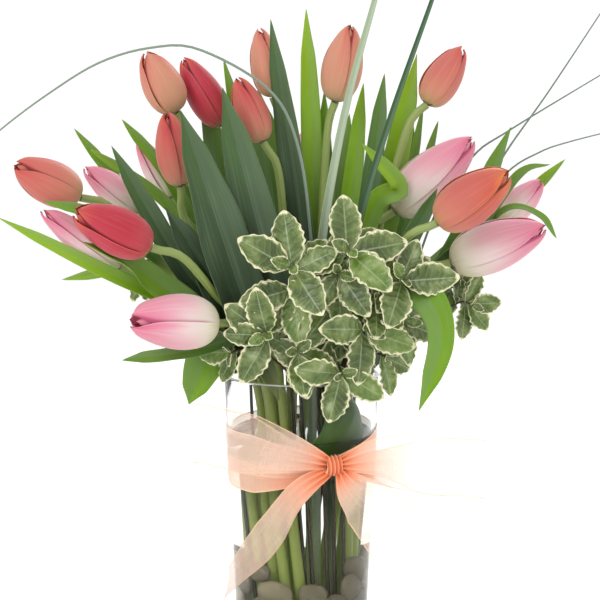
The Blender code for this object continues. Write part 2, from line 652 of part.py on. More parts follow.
def build_tulips(places, mats):
    """Build every flower head, stem and leaf."""
    for number, (base, tip, width) in TULIPS.items():
        head = place(flower_solid(base, tip, width), f"head {number}")
        add_object(f"tulip_{number:02d}_flower", head, mats["petal"])
    paths, grown = {}, {}
    bends = list(itertools.product((30, 42, 20, 55), (0, 6, -6, 12, -12)))
    for number, (base, tip, _) in TULIPS.items():
        def make(choice, extra, number=number, base=base, tip=tip):
            path = stem_path(*places[number], base, tip, choice)
            return stem_solid(path, extra)
        solid, choice = settle(make, bends, number)
        if solid is None:
            raise ValueError(f"stem {number} finds no room")
        paths[number] = stem_path(*places[number], base, tip, choice)
        grown[number] = [solid]
    return paths, grown


def build_grasses(places, mats):
    """Build the grass blades and needles."""
    for name, (points, width) in {**GRASSES, **NEEDLES}.items():
        count = GRASS_STATIONS if name in GRASSES else NEEDLE_STATIONS

        def make(shift, extra, name=name, points=points, width=width, count=count):
            foot, neck = places[name]
            moved = [Vector(p) + Vector((0, shift, 0)) for p in points]
            path = through([foot, foot.lerp(neck, 0.5), neck] + moved, count)
            widths = [width * (0.55 + 0.45 * math.sin(math.pi * min(1, i / count * 1.1))) + 2 * extra
                      for i in range(count - 1)] + [0.8 + 2 * extra]
            return blade(path, widths, [(0.1, -1, 0.35)], 0.2, max(1.2, width * 0.3) + 2 * extra)

        solid, _ = settle(make, (0, 3, -3, 6, -6, 9, -9, 12, -12, 16, -16), name)
        if solid is None:
            raise ValueError(f"{name} finds no room")
        add_object(name, solid, mats["grass"])


def build_leaves(paths, grown, mats):
    """Grow the leaves on their stems and add each stem with its leaves as one body."""
    shifts = (0, 4, -4, 8, -8, 12, -12, 17, -17)
    turns = [math.radians(a) for a in (0, 20, -20, 40, -40)]
    choices = sorted(itertools.product(shifts, turns, (1, 0.85), (0, 14, 28, -20)),
                     key=lambda c: abs(c[0]) / 4 + abs(c[1]) * 2.5 + (1 - c[2]) * 12 + abs(c[3]) / 10)
    for index, (number, height, points, tip, width, faces) in enumerate(LEAVES):
        def make(choice, extra, stem=paths[number], leaf=(height, points, tip, width, faces)):
            root = root_on(stem, leaf[0] + choice[3])
            return leaf_solid(root, *leaf[1:], choice, extra)

        solid, _ = settle(make, choices, f"leaf {index}", number)
        if solid is None:
            raise ValueError(f"leaf {index} finds no room")
        grown[number].append(solid)
    for number, solids in grown.items():
        add_joined(f"tulip_{number:02d}_stem", solids, mats["leaf"])


def build_twigs(places):
    """Lay every sprig's main twig and side twigs; return the twigs and open rosettes by sprig."""
    shifts = [Vector(s) for s in itertools.product((0, 4, -4, 9, -9), (0, 5, -5, 10), (0, 6))]
    shifts.sort(key=lambda s: s.length)
    twigs = {}
    for name, rosettes in SPRIGS.items():
        foot, neck = places[name]
        heart = neck.lerp(Vector(rosettes[0][0]), 0.3) + Vector((0, 0, 4))

        def main_twig(shift, extra, foot=foot, neck=neck, heart=heart, rosettes=rosettes):
            path = main_path(foot, neck, heart + shift, rosettes[0])
            return tube(path, [TWIG_RADIUS + extra] * TWIG_STATIONS, TWIG_SIDES)

        solid, shift = settle(main_twig, shifts, name, name)
        if solid is None:
            raise ValueError(f"{name} finds no room")
        main = main_path(foot, neck, heart + shift, rosettes[0])
        twigs[name] = ([solid], [(main, rosettes[0])])
        for rosette in rosettes[1:]:
            start = root_on(main, FORK_HEIGHT)

            def side_twig(bend, extra, rosette=rosette, start=start):
                path = side_path(start, bend, rosette)
                return tube(path, [SIDE_TWIG_RADIUS + extra] * SIDE_TWIG_STATIONS, SIDE_TWIG_SIDES)

            solid, bend = settle(side_twig, shifts, name, name)
            if solid is None:
                raise ValueError(f"{name} finds no room for its side twig")
            twigs[name][0].append(solid)
            twigs[name][1].append((side_path(start, bend, rosette), rosette))
    return twigs


def build_sprigs(twigs, mats):
    """Open each rosette's leaves round its twig, leave out any that finds no room, add every sprig."""
    turns = [math.radians(a) for a in (0, 18, -18, 36, -36)]
    tilts = [math.radians(a) for a in (0, -16, 14, -32)]
    choices = list(itertools.product(turns, tilts, (1, 0.8)))
    for name, (solids, rosettes) in twigs.items():
        for twig, rosette in rosettes:
            for leaf in rosette_leaves(rosette):
                def make(choice, extra, twig=twig, opening=rosette[1], leaf=leaf):
                    return sprig_leaf(twig, opening, leaf, choice, extra)

                solid, _ = settle(make, choices, name, name)
                if solid is not None:
                    solids.append(solid)
        add_joined(name, solids, mats["sprig"])


def main():
    """Clear the scene and build every piece."""
    for obj in list(bpy.data.objects):
        bpy.data.objects.remove(obj, do_unlink=True)
    mats = {
        "glass": material("clear glass", (0.85, 0.92, 0.9), 0.03, 0.3),
        "pebble": material("river pebble", (0.25, 0.22, 0.19), 0.5),
        "petal": material("tulip petal", (0.8, 0.28, 0.22), 0.45),
        "leaf": material("tulip leaf", (0.1, 0.26, 0.07), 0.45),
        "grass": material("grass blade", (0.14, 0.25, 0.1), 0.5),
        "sprig": material("pittosporum leaf", (0.22, 0.34, 0.12), 0.4),
        "ribbon": material("peach organza", (0.9, 0.5, 0.3), 0.4, 0.6),
    }
    places = standing_places()
    add_object("vase", place(vase_solid(), "vase"), mats["glass"])
    add_object("pebble_bed", place(pebble_solid(), "pebbles"), mats["pebble"])
    add_object("ribbon_band", place(band_solid(), "band"), mats["ribbon"])
    add_joined("ribbon_bow", [place(solid, "bow") for solid in bow_solids()], mats["ribbon"])
    paths, grown = build_tulips(places, mats)
    build_grasses(places, mats)
    twigs = build_twigs(places)
    build_leaves(paths, grown, mats)
    build_sprigs(twigs, mats)


main()
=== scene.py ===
"""Tulips in a glass vase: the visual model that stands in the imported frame.

Every flower, leaf, twig and grass follows the same middle line as its frame node. Where a node took one of
several small turns or shifts to stay clear of its neighbours, that choice is read back from the node's own
mesh. Sizes in the tables are millimetres; meshes are made in metres at the end.
"""
import itertools
import math
import random

import bpy
import numpy as np
from mathutils import Matrix, Vector
from mathutils.bvhtree import BVHTree


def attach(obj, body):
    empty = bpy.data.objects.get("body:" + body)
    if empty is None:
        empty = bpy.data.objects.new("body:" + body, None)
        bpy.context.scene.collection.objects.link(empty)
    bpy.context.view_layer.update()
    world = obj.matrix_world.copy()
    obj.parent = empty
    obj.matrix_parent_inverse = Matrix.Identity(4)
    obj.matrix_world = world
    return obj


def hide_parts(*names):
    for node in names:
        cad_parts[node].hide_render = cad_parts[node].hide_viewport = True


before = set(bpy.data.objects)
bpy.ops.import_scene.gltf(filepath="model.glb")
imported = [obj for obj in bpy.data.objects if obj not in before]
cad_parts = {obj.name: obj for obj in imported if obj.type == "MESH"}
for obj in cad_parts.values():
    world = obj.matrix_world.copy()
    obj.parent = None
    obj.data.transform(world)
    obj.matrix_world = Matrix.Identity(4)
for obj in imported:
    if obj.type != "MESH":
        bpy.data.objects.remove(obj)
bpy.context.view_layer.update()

bl_info = {
    "name": "Tulips in a Vase",
    "version": (1, 0, 0),
    "blender": (4, 5, 0),
    "location": "View3D > Sidebar > Tulips",
    "description": "Builds tulips with pittosporum and grasses in a glass vase with an organza bow",
    "category": "Add Mesh",
}

MM = 0.001
CLEAR = 0.35                    # free air between two pieces, in millimetres

# ---------------------------------------------------------------- the bunch, in millimetres

VASE_HEIGHT = 180
VASE_FOOT_RADIUS = 42.6
VASE_RIM_RADIUS = 51
VASE_WALL = 2.8
VASE_FLOOR = 12

FOOT_LIMIT = 26                 # radius of the circle that holds every stem's foot
FOOT_GAP = 1.3                  # least room between two feet
FOOT_LIFT = 0.9                 # a leaning stem's middle stands this far off the floor
SPIRAL = math.radians(30)       # turn of the whole bunch between its neck and its feet
NECK_SPREAD = 1.5               # how much wider the bunch stands at its neck than at its feet
WISH_SHARE = 0.27               # how far out a foot would stand, as a share of its flower's place
STEM_RADIUS = 3.3
STEM_TOP_RADIUS = 2.6
STEM_BEND = 30                  # how far below its flower a stem starts to bend
LEAF_ROOT_WIDTH = 4.6
LEAF_FOLD = 0.22                # how far a leaf's margins rise, as a share of its half width
LEAF_BELLY = 0.42               # where a leaf is widest, as a share of its length
LEAF_POINT = 0.14               # share of a leaf's length that narrows further, to a point
TWIG_RADIUS, TWIG_TIP_RADIUS = 1.3, 0.9
SIDE_TWIG_RADIUS, SIDE_TWIG_TIP_RADIUS = 0.9, 0.6
TWIG_END = 2                    # how far a twig reaches past the middle of its rosette
TWIG_TURN = 14                  # how far before that middle a main twig turns its rosette's way
SIDE_TWIG_TURN = 12
TWIG_ARCH = 4                   # how far a main twig rises over the straight way to its rosette
SIDE_TWIG_ARCH = 6
FORK_HEIGHT = 186               # where side twigs leave the main twig
GOLDEN_ANGLE = math.radians(137.5)
INNER_LEAVES = 2                # young leaves in the middle of each rosette
BACK_LEAVES = 2                 # older leaves on the twig behind each rosette
SPRIG_LEAF_BEND = 0.1           # how far a leaf bends back, as a share of its length

# Tulips: (middle of the flower's base, its tip, its width)
TULIPS = {
    1: ((-82, 13, 350), (-101, 7, 389), 26),
    2: ((-52, 25, 341), (-79, 27, 386), 24),
    3: ((-78, -5, 303), (-87, -10, 351), 24),
    4: ((-25, 0, 331), (-42, 0, 373), 22),
    5: ((-19, 25, 360), (-28, 25, 405), 21),
    6: ((22, 10, 357), (32, 5, 407), 26),
    7: ((82, 15, 355), (106, 20, 393), 24),
    8: ((-142, -15, 296), (-182, -30, 318), 28),
    9: ((-93, -60, 268), (-139, -75, 292), 29),
    10: ((-107, 10, 286), (-142, 5, 315), 20),
    11: ((-115, -30, 252), (-164, -35, 290), 20),
    12: ((-88, 50, 292), (-111, 55, 332), 18),
    13: ((-52, -62, 221), (-105, -85, 226), 34),
    14: ((60, 0, 286), (112, 0, 334), 33),
    15: ((84, -55, 283), (127, -70, 315), 31),
    16: ((95, -25, 255), (156, -30, 279), 32),
    17: ((133, 35, 276), (162, 41, 304), 21),
    18: ((-56, 62, 268), (-84, 92, 306), 26),
    19: ((2, 66, 292), (6, 88, 339), 27),
    20: ((62, 64, 272), (92, 88, 311), 26),
}

# Leaves: (tulip that carries it, height of its root, points it passes, tip, width, way its upper side
# faces; where it twists, at its root and at its tip, and its tone, from 0 for dark to 1 for bright, which
# is partly the leaf's age and partly painted shade in the bunch and painted light shining through it)
LEAVES = [
    (13, 165, [(-31, -40, 215)], (-76, -32, 352), 34, [(0.1, -1, 0.1)], 0.14),
    (4, 180, [(-17, -24, 234)], (-50, -20, 366), 29, [(-0.1, -1, 0)], 0.16),
    (4, 190, [(-12, -8, 222)], (-46, -6, 308), 24, [(0.3, -1, 0)], 0.1),
    (10, 200, [(-73, -16, 246), (-100, -18, 291)], (-121, -18, 329), 16, [(0.2, -1, 0.4)], 0.2),
    (9, 178, [(-45, -48, 226)], (-86, -42, 291), 25, [(-0.1, -1, 0.2)], 0.0),
    (8, 184, [(-50, -22, 216), (-90, -34, 235), (-122, -45, 251)], (-191, -38, 285), 17,
     [(0.1, -0.9, 0.5)], 0.92),
    (9, 186, [(-56, -48, 216), (-97, -58, 249)], (-133, -88, 273), 19, [(-0.2, -0.8, 0.7)], 0.75),
    (12, 225, [(-92, 14, 247)], (-161, 18, 238), 11, [(0, -0.7, 0.7)], 0.8),
    (13, 186, [(-70, -46, 203)], (-112, -44, 197), 11, [(0, -0.8, 0.6)], 0.5),
    (9, 190, [(-52, -48, 206), (-63, -52, 189)], (-72, -52, 165), 28, [(-0.3, -0.9, 0.2)], 0.7),
    (5, 214, [(8, 16, 256)], (3, 20, 417), 15, [(0.1, -1, 0)], 0.95),
    (5, 190, [(2, 6, 250)], (-20, 11, 410), 18, [(-0.3, -1, 0)], 0.15),
    (6, 214, [(17, 18, 259)], (15, 24, 364), 13, [(0.2, -1, 0)], 0.62),
    (6, 204, [(28, 22, 259)], (41, 29, 369), 14, [(-0.2, -1, 0)], 0.98),
    (7, 206, [(40, 4, 256)], (54, 12, 375), 14, [(0.3, -1, 0)], 0.34),
    (7, 190, [(47, 12, 250)], (76, 26, 388), 20, [(0.2, -1, 0)], 0.95),
    (14, 214, [(62, 18, 262)], (82, 30, 354), 8, [(0, -1, 0)], 0.55),
    (17, 214, [(68, 30, 262)], (92, 45, 344), 7, [(0.2, -1, 0)], 0.55),
    (15, 200, [(88, -8, 245)], (135, 0, 341), 15, [(0, -1, 0.1)], 0.5),
    (17, 236, [(140, 58, 283), (158, 55, 297)], (178, 46, 318), 11, [(0, -0.8, 0.5)], 0.8),
    (16, 226, [(112, 8, 271), (143, 12, 310)], (163, 13, 316), 8, [(0, -0.9, 0.5)], 0.55),
    (14, 222, [(46, -15, 290), (62, -21, 303)], (38, -24, 331), 15, [(0.3, -1, 0.2)], 0.85),
    (16, 205, [(62, -42, 258)], (85, -42, 303), 13, [(0.2, -1, 0)], 0.25),
    (15, 196, [(60, -46, 236), (80, -64, 234), (86, -70, 208)], (73, -62, 166), 22,
     [(-0.4, 0.2, 0.9), (0.3, -1, 0)], 0.7),
    (17, 238, [(133, 6, 287), (156, 6, 283)], (167, 6, 268), 5, [(0, -0.7, 0.7)], 0.6),
    (10, 236, [(-103, 26, 281)], (-151, 30, 339), 9, [(0, -1, 0.3)], 0.62),
    (12, 250, [(-86, 36, 302)], (-120, 38, 345), 9, [(0, -1, 0.2)], 0.68),
    (1, 240, [(-92, 24, 292)], (-140, 22, 326), 8, [(0, -1, 0.3)], 0.75),
    (4, 218, [(-22, 14, 262)], (-51, 16, 385), 11, [(0.2, -1, 0)], 0.6),
    (8, 246, [(-124, -42, 284)], (-160, -50, 296), 9, [(0, -0.9, 0.4)], 0.62),
    (16, 190, [(66, -26, 222)], (103, -14, 270), 18, [(0.1, -1, 0.2)], 0.2),
    (18, 205, [(-52, 48, 240)], (-104, 78, 322), 26, [(-0.3, 1, 0.1)], 0.5),
    (19, 215, [(-14, 62, 262)], (-30, 84, 366), 28, [(0, 1, 0)], 0.4),
    (19, 200, [(18, 60, 250)], (34, 102, 348), 24, [(0.2, 1, 0.1)], 0.5),
    (20, 205, [(52, 44, 250)], (76, 66, 352), 24, [(0.2, 1, 0)], 0.4),
    (20, 190, [(66, 52, 225)], (124, 86, 268), 24, [(-0.4, -0.3, 1)], 0.5),
    (18, 190, [(-50, 50, 222)], (-118, 88, 258), 22, [(0.4, -0.3, 1)], 0.5),
    (12, 205, [(-62, 34, 240)], (-100, 62, 300), 18, [(0.6, -0.6, 0.8)], 0.4),
    (1, 200, [(-46, 26, 262)], (-66, 40, 372), 20, [(-0.4, 0.9, 0)], 0.4),
    (18, 185, [(-26, 58, 222)], (-44, 106, 258), 24, [(0, -0.6, 0.8)], 0.5),
    (20, 184, [(30, 56, 218)], (52, 108, 246), 22, [(0, -0.5, 0.85)], 0.5),
    (15, 172, [(33, -33, 158), (22, -39, 138)], (2, -43, 116), 36, [(-0.5, 1, 0)], 0.44),
]

# Leaves that are slimmer than their node, by their place in the list, and the share of its width they have
SLENDER = {5: 0.6}

# Broad grasses: (points above the neck, width at the middle), and the share of that width that shows where
# one is turned on edge
GRASSES = {
    "grass_arc": ([(8, -14, 214), (6, -22, 270), (-2, -28, 328), (-20, -36, 364), (-63, -44, 389),
                   (-93, -47, 390), (-124, -50, 381), (-154, -52, 363), (-185, -55, 340),
                   (-214, -56, 314)], 3.4),
    "grass_pale": ([(10, -20, 214), (13, -27, 270), (27, -33, 350), (45, -39, 419), (58, -43, 466)], 6),
    "grass_dark": ([(27, -24, 214), (36, -33, 280), (55, -39, 346), (80, -45, 419), (93, -48, 458)], 4.8),
}
GRASS_TURNED = {"grass_arc": 0.55}
NEEDLES = {
    "needle_grass_1": ([(54, -16, 204), (83, -12, 235), (113, 0, 290), (134, 9, 325), (162, 16, 364),
                        (206, 24, 430)], 1.5),
    "needle_grass_2": ([(57, -8, 200), (86, 8, 280), (112, 18, 320), (137, 22, 338), (198, 34, 374),
                        (222, 37, 388)], 1.5),
    "needle_grass_3": ([(60, -2, 198), (100, 20, 268), (135, 24, 309), (157, 27, 323), (177, 30, 330),
                        (222, 36, 341)], 1.5),
}

# Sprigs: rosettes as (middle, way it opens, ways its outer leaves point, leaf length); a way is an angle
# round the opening, in degrees, from +X towards +Z where the rosette opens to the front
SPRIGS = {
    "sprig_front_left": [((-6, -65, 257), (-0.1, -0.95, 0.3), (98, 150, -58, 24), 39),
                         ((-5, -62, 242), (-0.1, -1, 0), (-125, -84, -165), 36)],
    "sprig_front_middle": [((29, -62, 267), (0.1, -0.95, 0.3), (94, 10, -46, -165), 38),
                           ((23, -60, 252), (0, -1, 0.1), (-88, -122, -55), 34)],
    "sprig_front_right": [((63, -60, 249), (0.25, -0.9, 0.3), (71, 2, -112, 140), 37),
                          ((47, -58, 236), (0.3, -0.9, 0.1), (-60, -100, 170), 29),
                          ((64, -48, 220), (0.6, -0.8, 0.1), (-75, -20, 60), 30)],
    "sprig_low": [((40, -61, 218), (0.3, -0.95, 0), (-96, -20, 175), 35),
                  ((25, -62, 189), (0.1, -0.95, -0.2), (-34, -105, 165), 33),
                  ((52, -46, 198), (0.6, -0.8, -0.1), (-30, -80, 30), 28)],
    "sprig_left_low": [((-22, -66, 215), (-0.2, -0.95, 0.1), (142, 98, 178, -120), 34),
                       ((-3, -66, 204), (0, -1, 0.1), (-28, 70, -80), 36),
                       ((-44, -57, 202), (-0.7, -0.7, -0.1), (-120, 160, -170), 27)],
    "sprig_left": [((-104, 8, 250), (-0.6, -0.75, 0.1), (200, 245, 290, 150, 20), 25)],
    "sprig_right": [((104, 10, 238), (0.6, -0.75, 0.2), (-20, 30, -70, -120, 110), 26),
                    ((110, -8, 226), (0.6, -0.8, 0), (-100, -50, 0, 60), 24)],
    "sprig_back_left": [((-42, 58, 236), (-0.3, 0.9, 0.3), (10, 80, 150, 220, 290), 36)],
    "sprig_back_middle": [((-2, 62, 236), (0, 0.95, 0.3), (45, 110, 190, 260, 330), 36)],
    "sprig_back_right": [((38, 60, 238), (0.3, 0.9, 0.3), (20, 90, 165, 235, 305), 36),
                         ((72, 38, 222), (0.8, 0.5, 0.2), (0, 75, 150, 220, 290), 31)],
}

# Ribbon: 38 mm organza, tied in front of the vase
RIBBON_WIDTH = 38
RIBBON_PINCH = 5                # half width of the band under the knot
RIBBON_DRAWN = 3.5              # half width of a loop or a tail where it leaves the knot
TAIL_HALF_WIDTH = 17.5
RIBBON_THICKNESS = 0.6          # of the band's node, which the knot stands in front of
BAND_HEIGHT = 127
BAND_GAP = 0.7                  # between the glass and the band
BAND_START = 2                  # degrees from the knot's middle to each end of the band
BAND_OPENING = 62               # degrees from the knot's middle to where the band is fully open
KNOT_ANGLE = math.radians(-67)  # where the knot stands round the vase; the front is at -90
KNOT_RISE = 2                   # how far the knot's middle lies over the band's
KNOT_WIDTH, KNOT_DEPTH, KNOT_HEIGHT = 7.5, 4.5, 5.6     # all from its middle
KNOT_PLEAT = 1.25               # how deep the knot's pleats are, to each side
KNOT_LENGTH = 34                # of ribbon, once round the knot

# Points that the frame's nodes have along each piece, and round a twig
STEM_STATIONS = 9
LEAF_STATIONS = 8
GRASS_STATIONS, NEEDLE_STATIONS = 20, 12
TWIG_STATIONS, TWIG_SIDES = 11, 5
SIDE_TWIG_STATIONS, SIDE_TWIG_SIDES = 7, 4
SPRIG_LEAF_STATIONS = (0, 0.55, 1)              # shares of a sprig leaf's length
SPRIG_LEAF_WIDTHS = (0.06, 0.54, 0.08)          # at those, as shares of its length
SPRIG_LEAF_FOLD = 0.15

# Glass, water and pebbles
FOOT_ROUNDING = 2.2             # of the foot's outer edge
FLOOR_ROUNDING = 6              # between the floor and the wall inside
# the rim's top band, this high, is painted white as a painted highlight
RIM_HIGHLIGHT_HEIGHT = 1.1                 # height of the band at the top of the rim that catches the light
WATER_OVERLAP = 0.15            # how far the water reaches into the glass, so that no air lies between
WATER_EDGE = ((6, 0), (2.2, 0.3), (0.8, 0.9), (0, 1.8))    # how far it creeps up, by its way to the glass
OPEN_ARC = math.radians(42)     # to each side of the front, where the top layer has no pebbles
PEBBLE_SIZES = {"Lowest middle": 0.0205, "Layer height": 0.0105, "Ring radius": 0.0335,
                "Half length": 0.0105, "Half thickness": 0.0052}    # in metres
PEBBLE_SEED = 7

# How finely each piece is made
ON_SURFACE = 0.00008            # metres from a node's surface at which a point counts as on it
PETAL_ROWS, PETAL_COLS = 30, 21
STEM_ROWS, STEM_SIDES = 48, 16
LEAF_ROWS, LEAF_COLS = 48, 13
GRASS_ROWS, GRASS_COLS = 90, 9
TWIG_ROWS, SIDE_TWIG_ROWS, BARK_SIDES = 60, 36, 10
SPRIG_ROWS, SPRIG_COLS = 36, 13
RIBBON_COLS = 29
BAND_ROWS, LOOP_ROWS, TAIL_ROWS = 180, 90, 70
KNOT_ROWS, KNOT_COLS = 64, 97
VASE_SEGMENTS = 128

LEAF_SEED, SPRIG_SEED = 100, 500                # of the first leaf and the first sprig

# The view, down a little from in front, and the soft lights, in metres
VIEW_TARGET = (-0.001, 0, 0.228)
VIEW_DISTANCE = 1.1
VIEW_DOWN = math.radians(7)
VIEW_ANGLE = math.radians(20.24)
LIGHT_SIZE = 0.9
KEY_LIGHT_PLACE = (-0.9, -1.1, 1.2)
BACK_LIGHT_PLACE = (0.5, 1.1, 1.0)
FLOOR_REACH = 14

# Greens of a tulip leaf by its tone, partly its age and partly painted light and shade: old and in painted
# shade at 0, young and painted as lit through at 1
LEAF_TONES = [(0.0, "#26391D"), (0.16, "#465C3E"), (0.36, "#55783A"), (0.58, "#6D9530"), (0.8, "#80AC1E"),
              (1.0, "#9CC424")]

GRASS_FACE = (0.1, -1, 0.35)    # the way a grass's upper side faces
GRASS_LOOKS = {
    "grass_arc": ([(0.0, "#7E9181"), (1.0, "#8FA08C")], "#B4C0B0"),
    "grass_pale": ([(0.0, "#9DB392"), (1.0, "#B4C4A6")], "#D5DECB"),
    "grass_dark": ([(0.0, "#2F5233"), (1.0, "#3F6440")], "#8FA98A"),
}

# Petal looks: colours from a petal's base to its tip, flame up its middle, its margin, its ribs, and the
# painted shade where it tucks under its neighbour and over the inner petals inside the flower
PETAL_LOOKS = {
    "peach": {
        "along": [(0.0, "#CFC088"), (0.16, "#E2B08A"), (0.5, "#E39A7E"), (0.82, "#E08372"), (1.0, "#D9604F")],
        "flame": "#DFA485", "margin": "#EFB79C", "rib": "#F0BCA2", "inside": "#9C3A30"},
    "coral": {
        "along": [(0.0, "#D8C083"), (0.14, "#E5A383"), (0.45, "#E08574"), (0.8, "#DC6F66"), (1.0, "#D95546")],
        "flame": "#D9796B", "margin": "#F0A88E", "rib": "#EDA28E", "inside": "#8E2A28"},
    "flushed": {
        "along": [(0.0, "#DDB586"), (0.2, "#E0957C"), (0.5, "#DB6F63"), (0.8, "#D44A4E"), (1.0, "#DE5844")],
        "flame": "#DA7E6C", "margin": "#EFA089", "rib": "#E68F80", "inside": "#84222A"},
    "red": {
        "along": [(0.0, "#CFA068"), (0.1, "#D2555A"), (0.4, "#D03F50"), (0.8, "#D4475A"), (1.0, "#E7754C")],
        "flame": "#C4303F", "margin": "#EC8A62", "rib": "#DF6470", "inside": "#7C0E20"},
    "flame": {
        "along": [(0.0, "#D9A86A"), (0.14, "#DE8E76"), (0.45, "#DA7769"), (0.78, "#E0694F"),
                  (1.0, "#F0974A")],
        "flame": "#D46A62", "margin": "#F5B45E", "rib": "#EA947E", "inside": "#8A2C28"},
    "pink_white": {
        "along": [(0.0, "#DDDBA8"), (0.2, "#F4EDDC"), (0.45, "#F7E2E0"), (0.72, "#F2A2B8"), (1.0, "#E8668F")],
        "flame": "#F1A6B8", "margin": "#FDF3F1", "rib": "#FBE9EA", "inside": "#C9567C"},
}
PETAL_SLOTS = {"peach": "petal_coral", "coral": "petal_coral", "flushed": "petal_coral",
               "flame": "petal_coral", "red": "petal_red", "pink_white": "petal_pink_white"}

# Each flower's look, where one of its seams shows in degrees to the right of its front, and how far its
# petals' tips stand apart
FLOWER_LOOKS = {
    1: ("peach", -33, 0.0), 2: ("red", 5, 0.0), 3: ("flushed", 12, 0.0), 4: ("flushed", 25, 0.0),
    5: ("peach", 23, 0.0), 6: ("peach", 16, 0.0), 7: ("coral", 28, 0.0), 8: ("coral", 22, 0.04),
    9: ("red", -20, 0.04), 10: ("pink_white", -10, 0.0), 11: ("pink_white", 0, 0.01),
    12: ("pink_white", -20, 0.0), 13: ("pink_white", 10, 0.06), 14: ("pink_white", 16, 0.0),
    15: ("flame", 22, 0.03), 16: ("pink_white", 22, 0.0), 17: ("pink_white", 10, 0.0),
    18: ("coral", 0, 0.02), 19: ("pink_white", 20, 0.0), 20: ("red", 40, 0.02),
}
OUTER_REACH = math.radians(67)  # how far an outer petal reaches round the flower to each side
INNER_REACH = math.radians(58)


# ---------------------------------------------------------------- middle lines

def through(points, count):
    """Return points evenly spaced along a smooth curve through the given ones."""
    pts = [Vector(p) for p in points]
    pts = [2 * pts[0] - pts[1]] + pts + [2 * pts[-1] - pts[-2]]
    fine, steps = [], 16
    for a, b, c, d in zip(pts, pts[1:], pts[2:], pts[3:]):
        for step in range(steps):
            t = step / steps
            fine.append(0.5 * (2 * b + (c - a) * t + (2 * a - 5 * b + 4 * c - d) * t ** 2
                               + (3 * b - a - 3 * c + d) * t ** 3))
    fine.append(pts[-2])
    lengths = [0.0]
    for a, b in zip(fine, fine[1:]):
        lengths.append(lengths[-1] + (b - a).length)
    result, k = [], 0
    for i in range(count):
        want = lengths[-1] * i / (count - 1)
        while k < len(fine) - 2 and lengths[k + 1] < want:
            k += 1
        share = (want - lengths[k]) / (lengths[k + 1] - lengths[k])
        result.append(fine[k].lerp(fine[k + 1], share))
    return result


def tangents(path):
    """Return the direction of a path at each of its points."""
    last = len(path) - 1
    return [(path[min(i + 1, last)] - path[max(i - 1, 0)]).normalized() for i in range(last + 1)]


def margin_points(path, widths, faces, fold):
    """Return the points of a blade's two margins, apart from those at its root."""
    points = []
    for i, (point, along, width) in enumerate(zip(path, tangents(path), widths)):
        face = Vector(faces[0]).lerp(Vector(faces[-1]), i / (len(path) - 1))
        side = along.cross(face).normalized()
        lift = side.cross(along) * (fold * width / 2)
        if i:
            points += [point + side * (width / 2) + lift, point - side * (width / 2) + lift]
    return points


def ring_points(path, radius, sides):
    """Return the corners of a twig's rings along its middle stretch, with the rings kept from twisting."""
    points, across = [], Vector((1, 0, 0))
    for i, (point, along) in enumerate(zip(path, tangents(path))):
        across = (across - along * across.dot(along)).normalized()
        other = along.cross(across)
        if 0.4 < i / len(path) < 0.8:
            points += [point + radius * (math.cos(a) * across + math.sin(a) * other)
                       for a in (math.tau * k / sides for k in range(sides))]
    return points


def spaced_out(wishes, radii):
    """Return places near the wished ones that are far enough apart, inside the foot circle."""
    spots = [Vector(w) for w in wishes]
    for _ in range(600):
        for i, j in itertools.combinations(range(len(spots)), 2):
            apart = spots[j] - spots[i]
            missing = radii[i] + radii[j] + FOOT_GAP - apart.length
            if missing > 0:
                push = apart.normalized() * (missing / 2)
                spots[i] -= push
                spots[j] += push
        for i, spot in enumerate(spots):
            limit = FOOT_LIMIT - radii[i]
            if spot.length > limit:
                spots[i] = spot * (limit / spot.length)
    return spots


def standing_places():
    """Return (foot, neck) points for every stem, grass and sprig, by name."""
    names, wishes, radii = [], [], []
    turn = Matrix.Rotation(SPIRAL, 2)

    def wish(name, target, radius):
        names.append(name)
        wishes.append(turn @ (Vector(target[:2]) * WISH_SHARE))
        radii.append(radius)

    for number, (base, _, _) in TULIPS.items():
        wish(number, base, STEM_RADIUS)
    for name, (points, width) in {**GRASSES, **NEEDLES}.items():
        wish(name, Vector(points[1]) * 1.1, width / 3)
    for name, rosettes in SPRIGS.items():
        wish(name, Vector(rosettes[0][0]), TWIG_RADIUS)
    back = Matrix.Rotation(-SPIRAL, 2)
    places = {}
    for name, spot in zip(names, spaced_out(wishes, radii)):
        neck = back @ spot * NECK_SPREAD
        places[name] = (Vector((*spot, VASE_FLOOR + FOOT_LIFT)), Vector((*neck, VASE_HEIGHT)))
    return places


def stem_points(number):
    """Return the points that a tulip's stem passes: up the vase, then into the flower's axis."""
    foot, neck = PLACES[number]
    base, tip, _ = TULIPS[number]
    axis = (Vector(tip) - Vector(base)).normalized()
    top = Vector(base) - axis * CLEAR
    return [foot, foot.lerp(neck, 0.5), neck, top - axis * STEM_BEND, top]


def root_on(path, height):
    """Return the point of a middle line at a height."""
    for a, b in zip(path, path[1:]):
        if a.z <= height <= b.z:
            return a.lerp(b, (height - a.z) / (b.z - a.z))
    return path[-2]


def back_along(path, distance):
    """Return the point that lies a distance before the end of a path."""
    for a, b in zip(path[::-1], path[-2::-1]):
        step = (b - a).length
        if distance <= step:
            return a.lerp(b, distance / step)
        distance -= step
    return path[0]


def leaf_width(share):
    """Return a tulip leaf's width at a share of its length: narrow root, broad belly, long point."""
    if share < LEAF_BELLY:
        return math.sin(share / LEAF_BELLY * math.pi / 2) ** 1.3
    return math.cos((share - LEAF_BELLY) / (1 - LEAF_BELLY) * math.pi / 2) ** 0.75


def leaf_line(root, points, tip, faces, choice, count):
    """Return a tulip leaf's middle line and the ways its upper side faces."""
    shift, turn, length, _ = choice
    tip = Vector(points[-1]).lerp(Vector(tip), length)
    moved = [Vector(p) + Vector((0, shift, 0)) for p in points] + [tip + Vector((0, shift, 0))]
    return through([root] + moved, count), [Matrix.Rotation(turn, 3, "Z") @ Vector(f) for f in faces]


def grass_line(name, points, shift, count):
    """Return a grass blade's middle line from the vase floor."""
    foot, neck = PLACES[name]
    return through([foot, foot.lerp(neck, 0.5), neck] + [Vector(p) + Vector((0, shift, 0)) for p in points],
                   count)


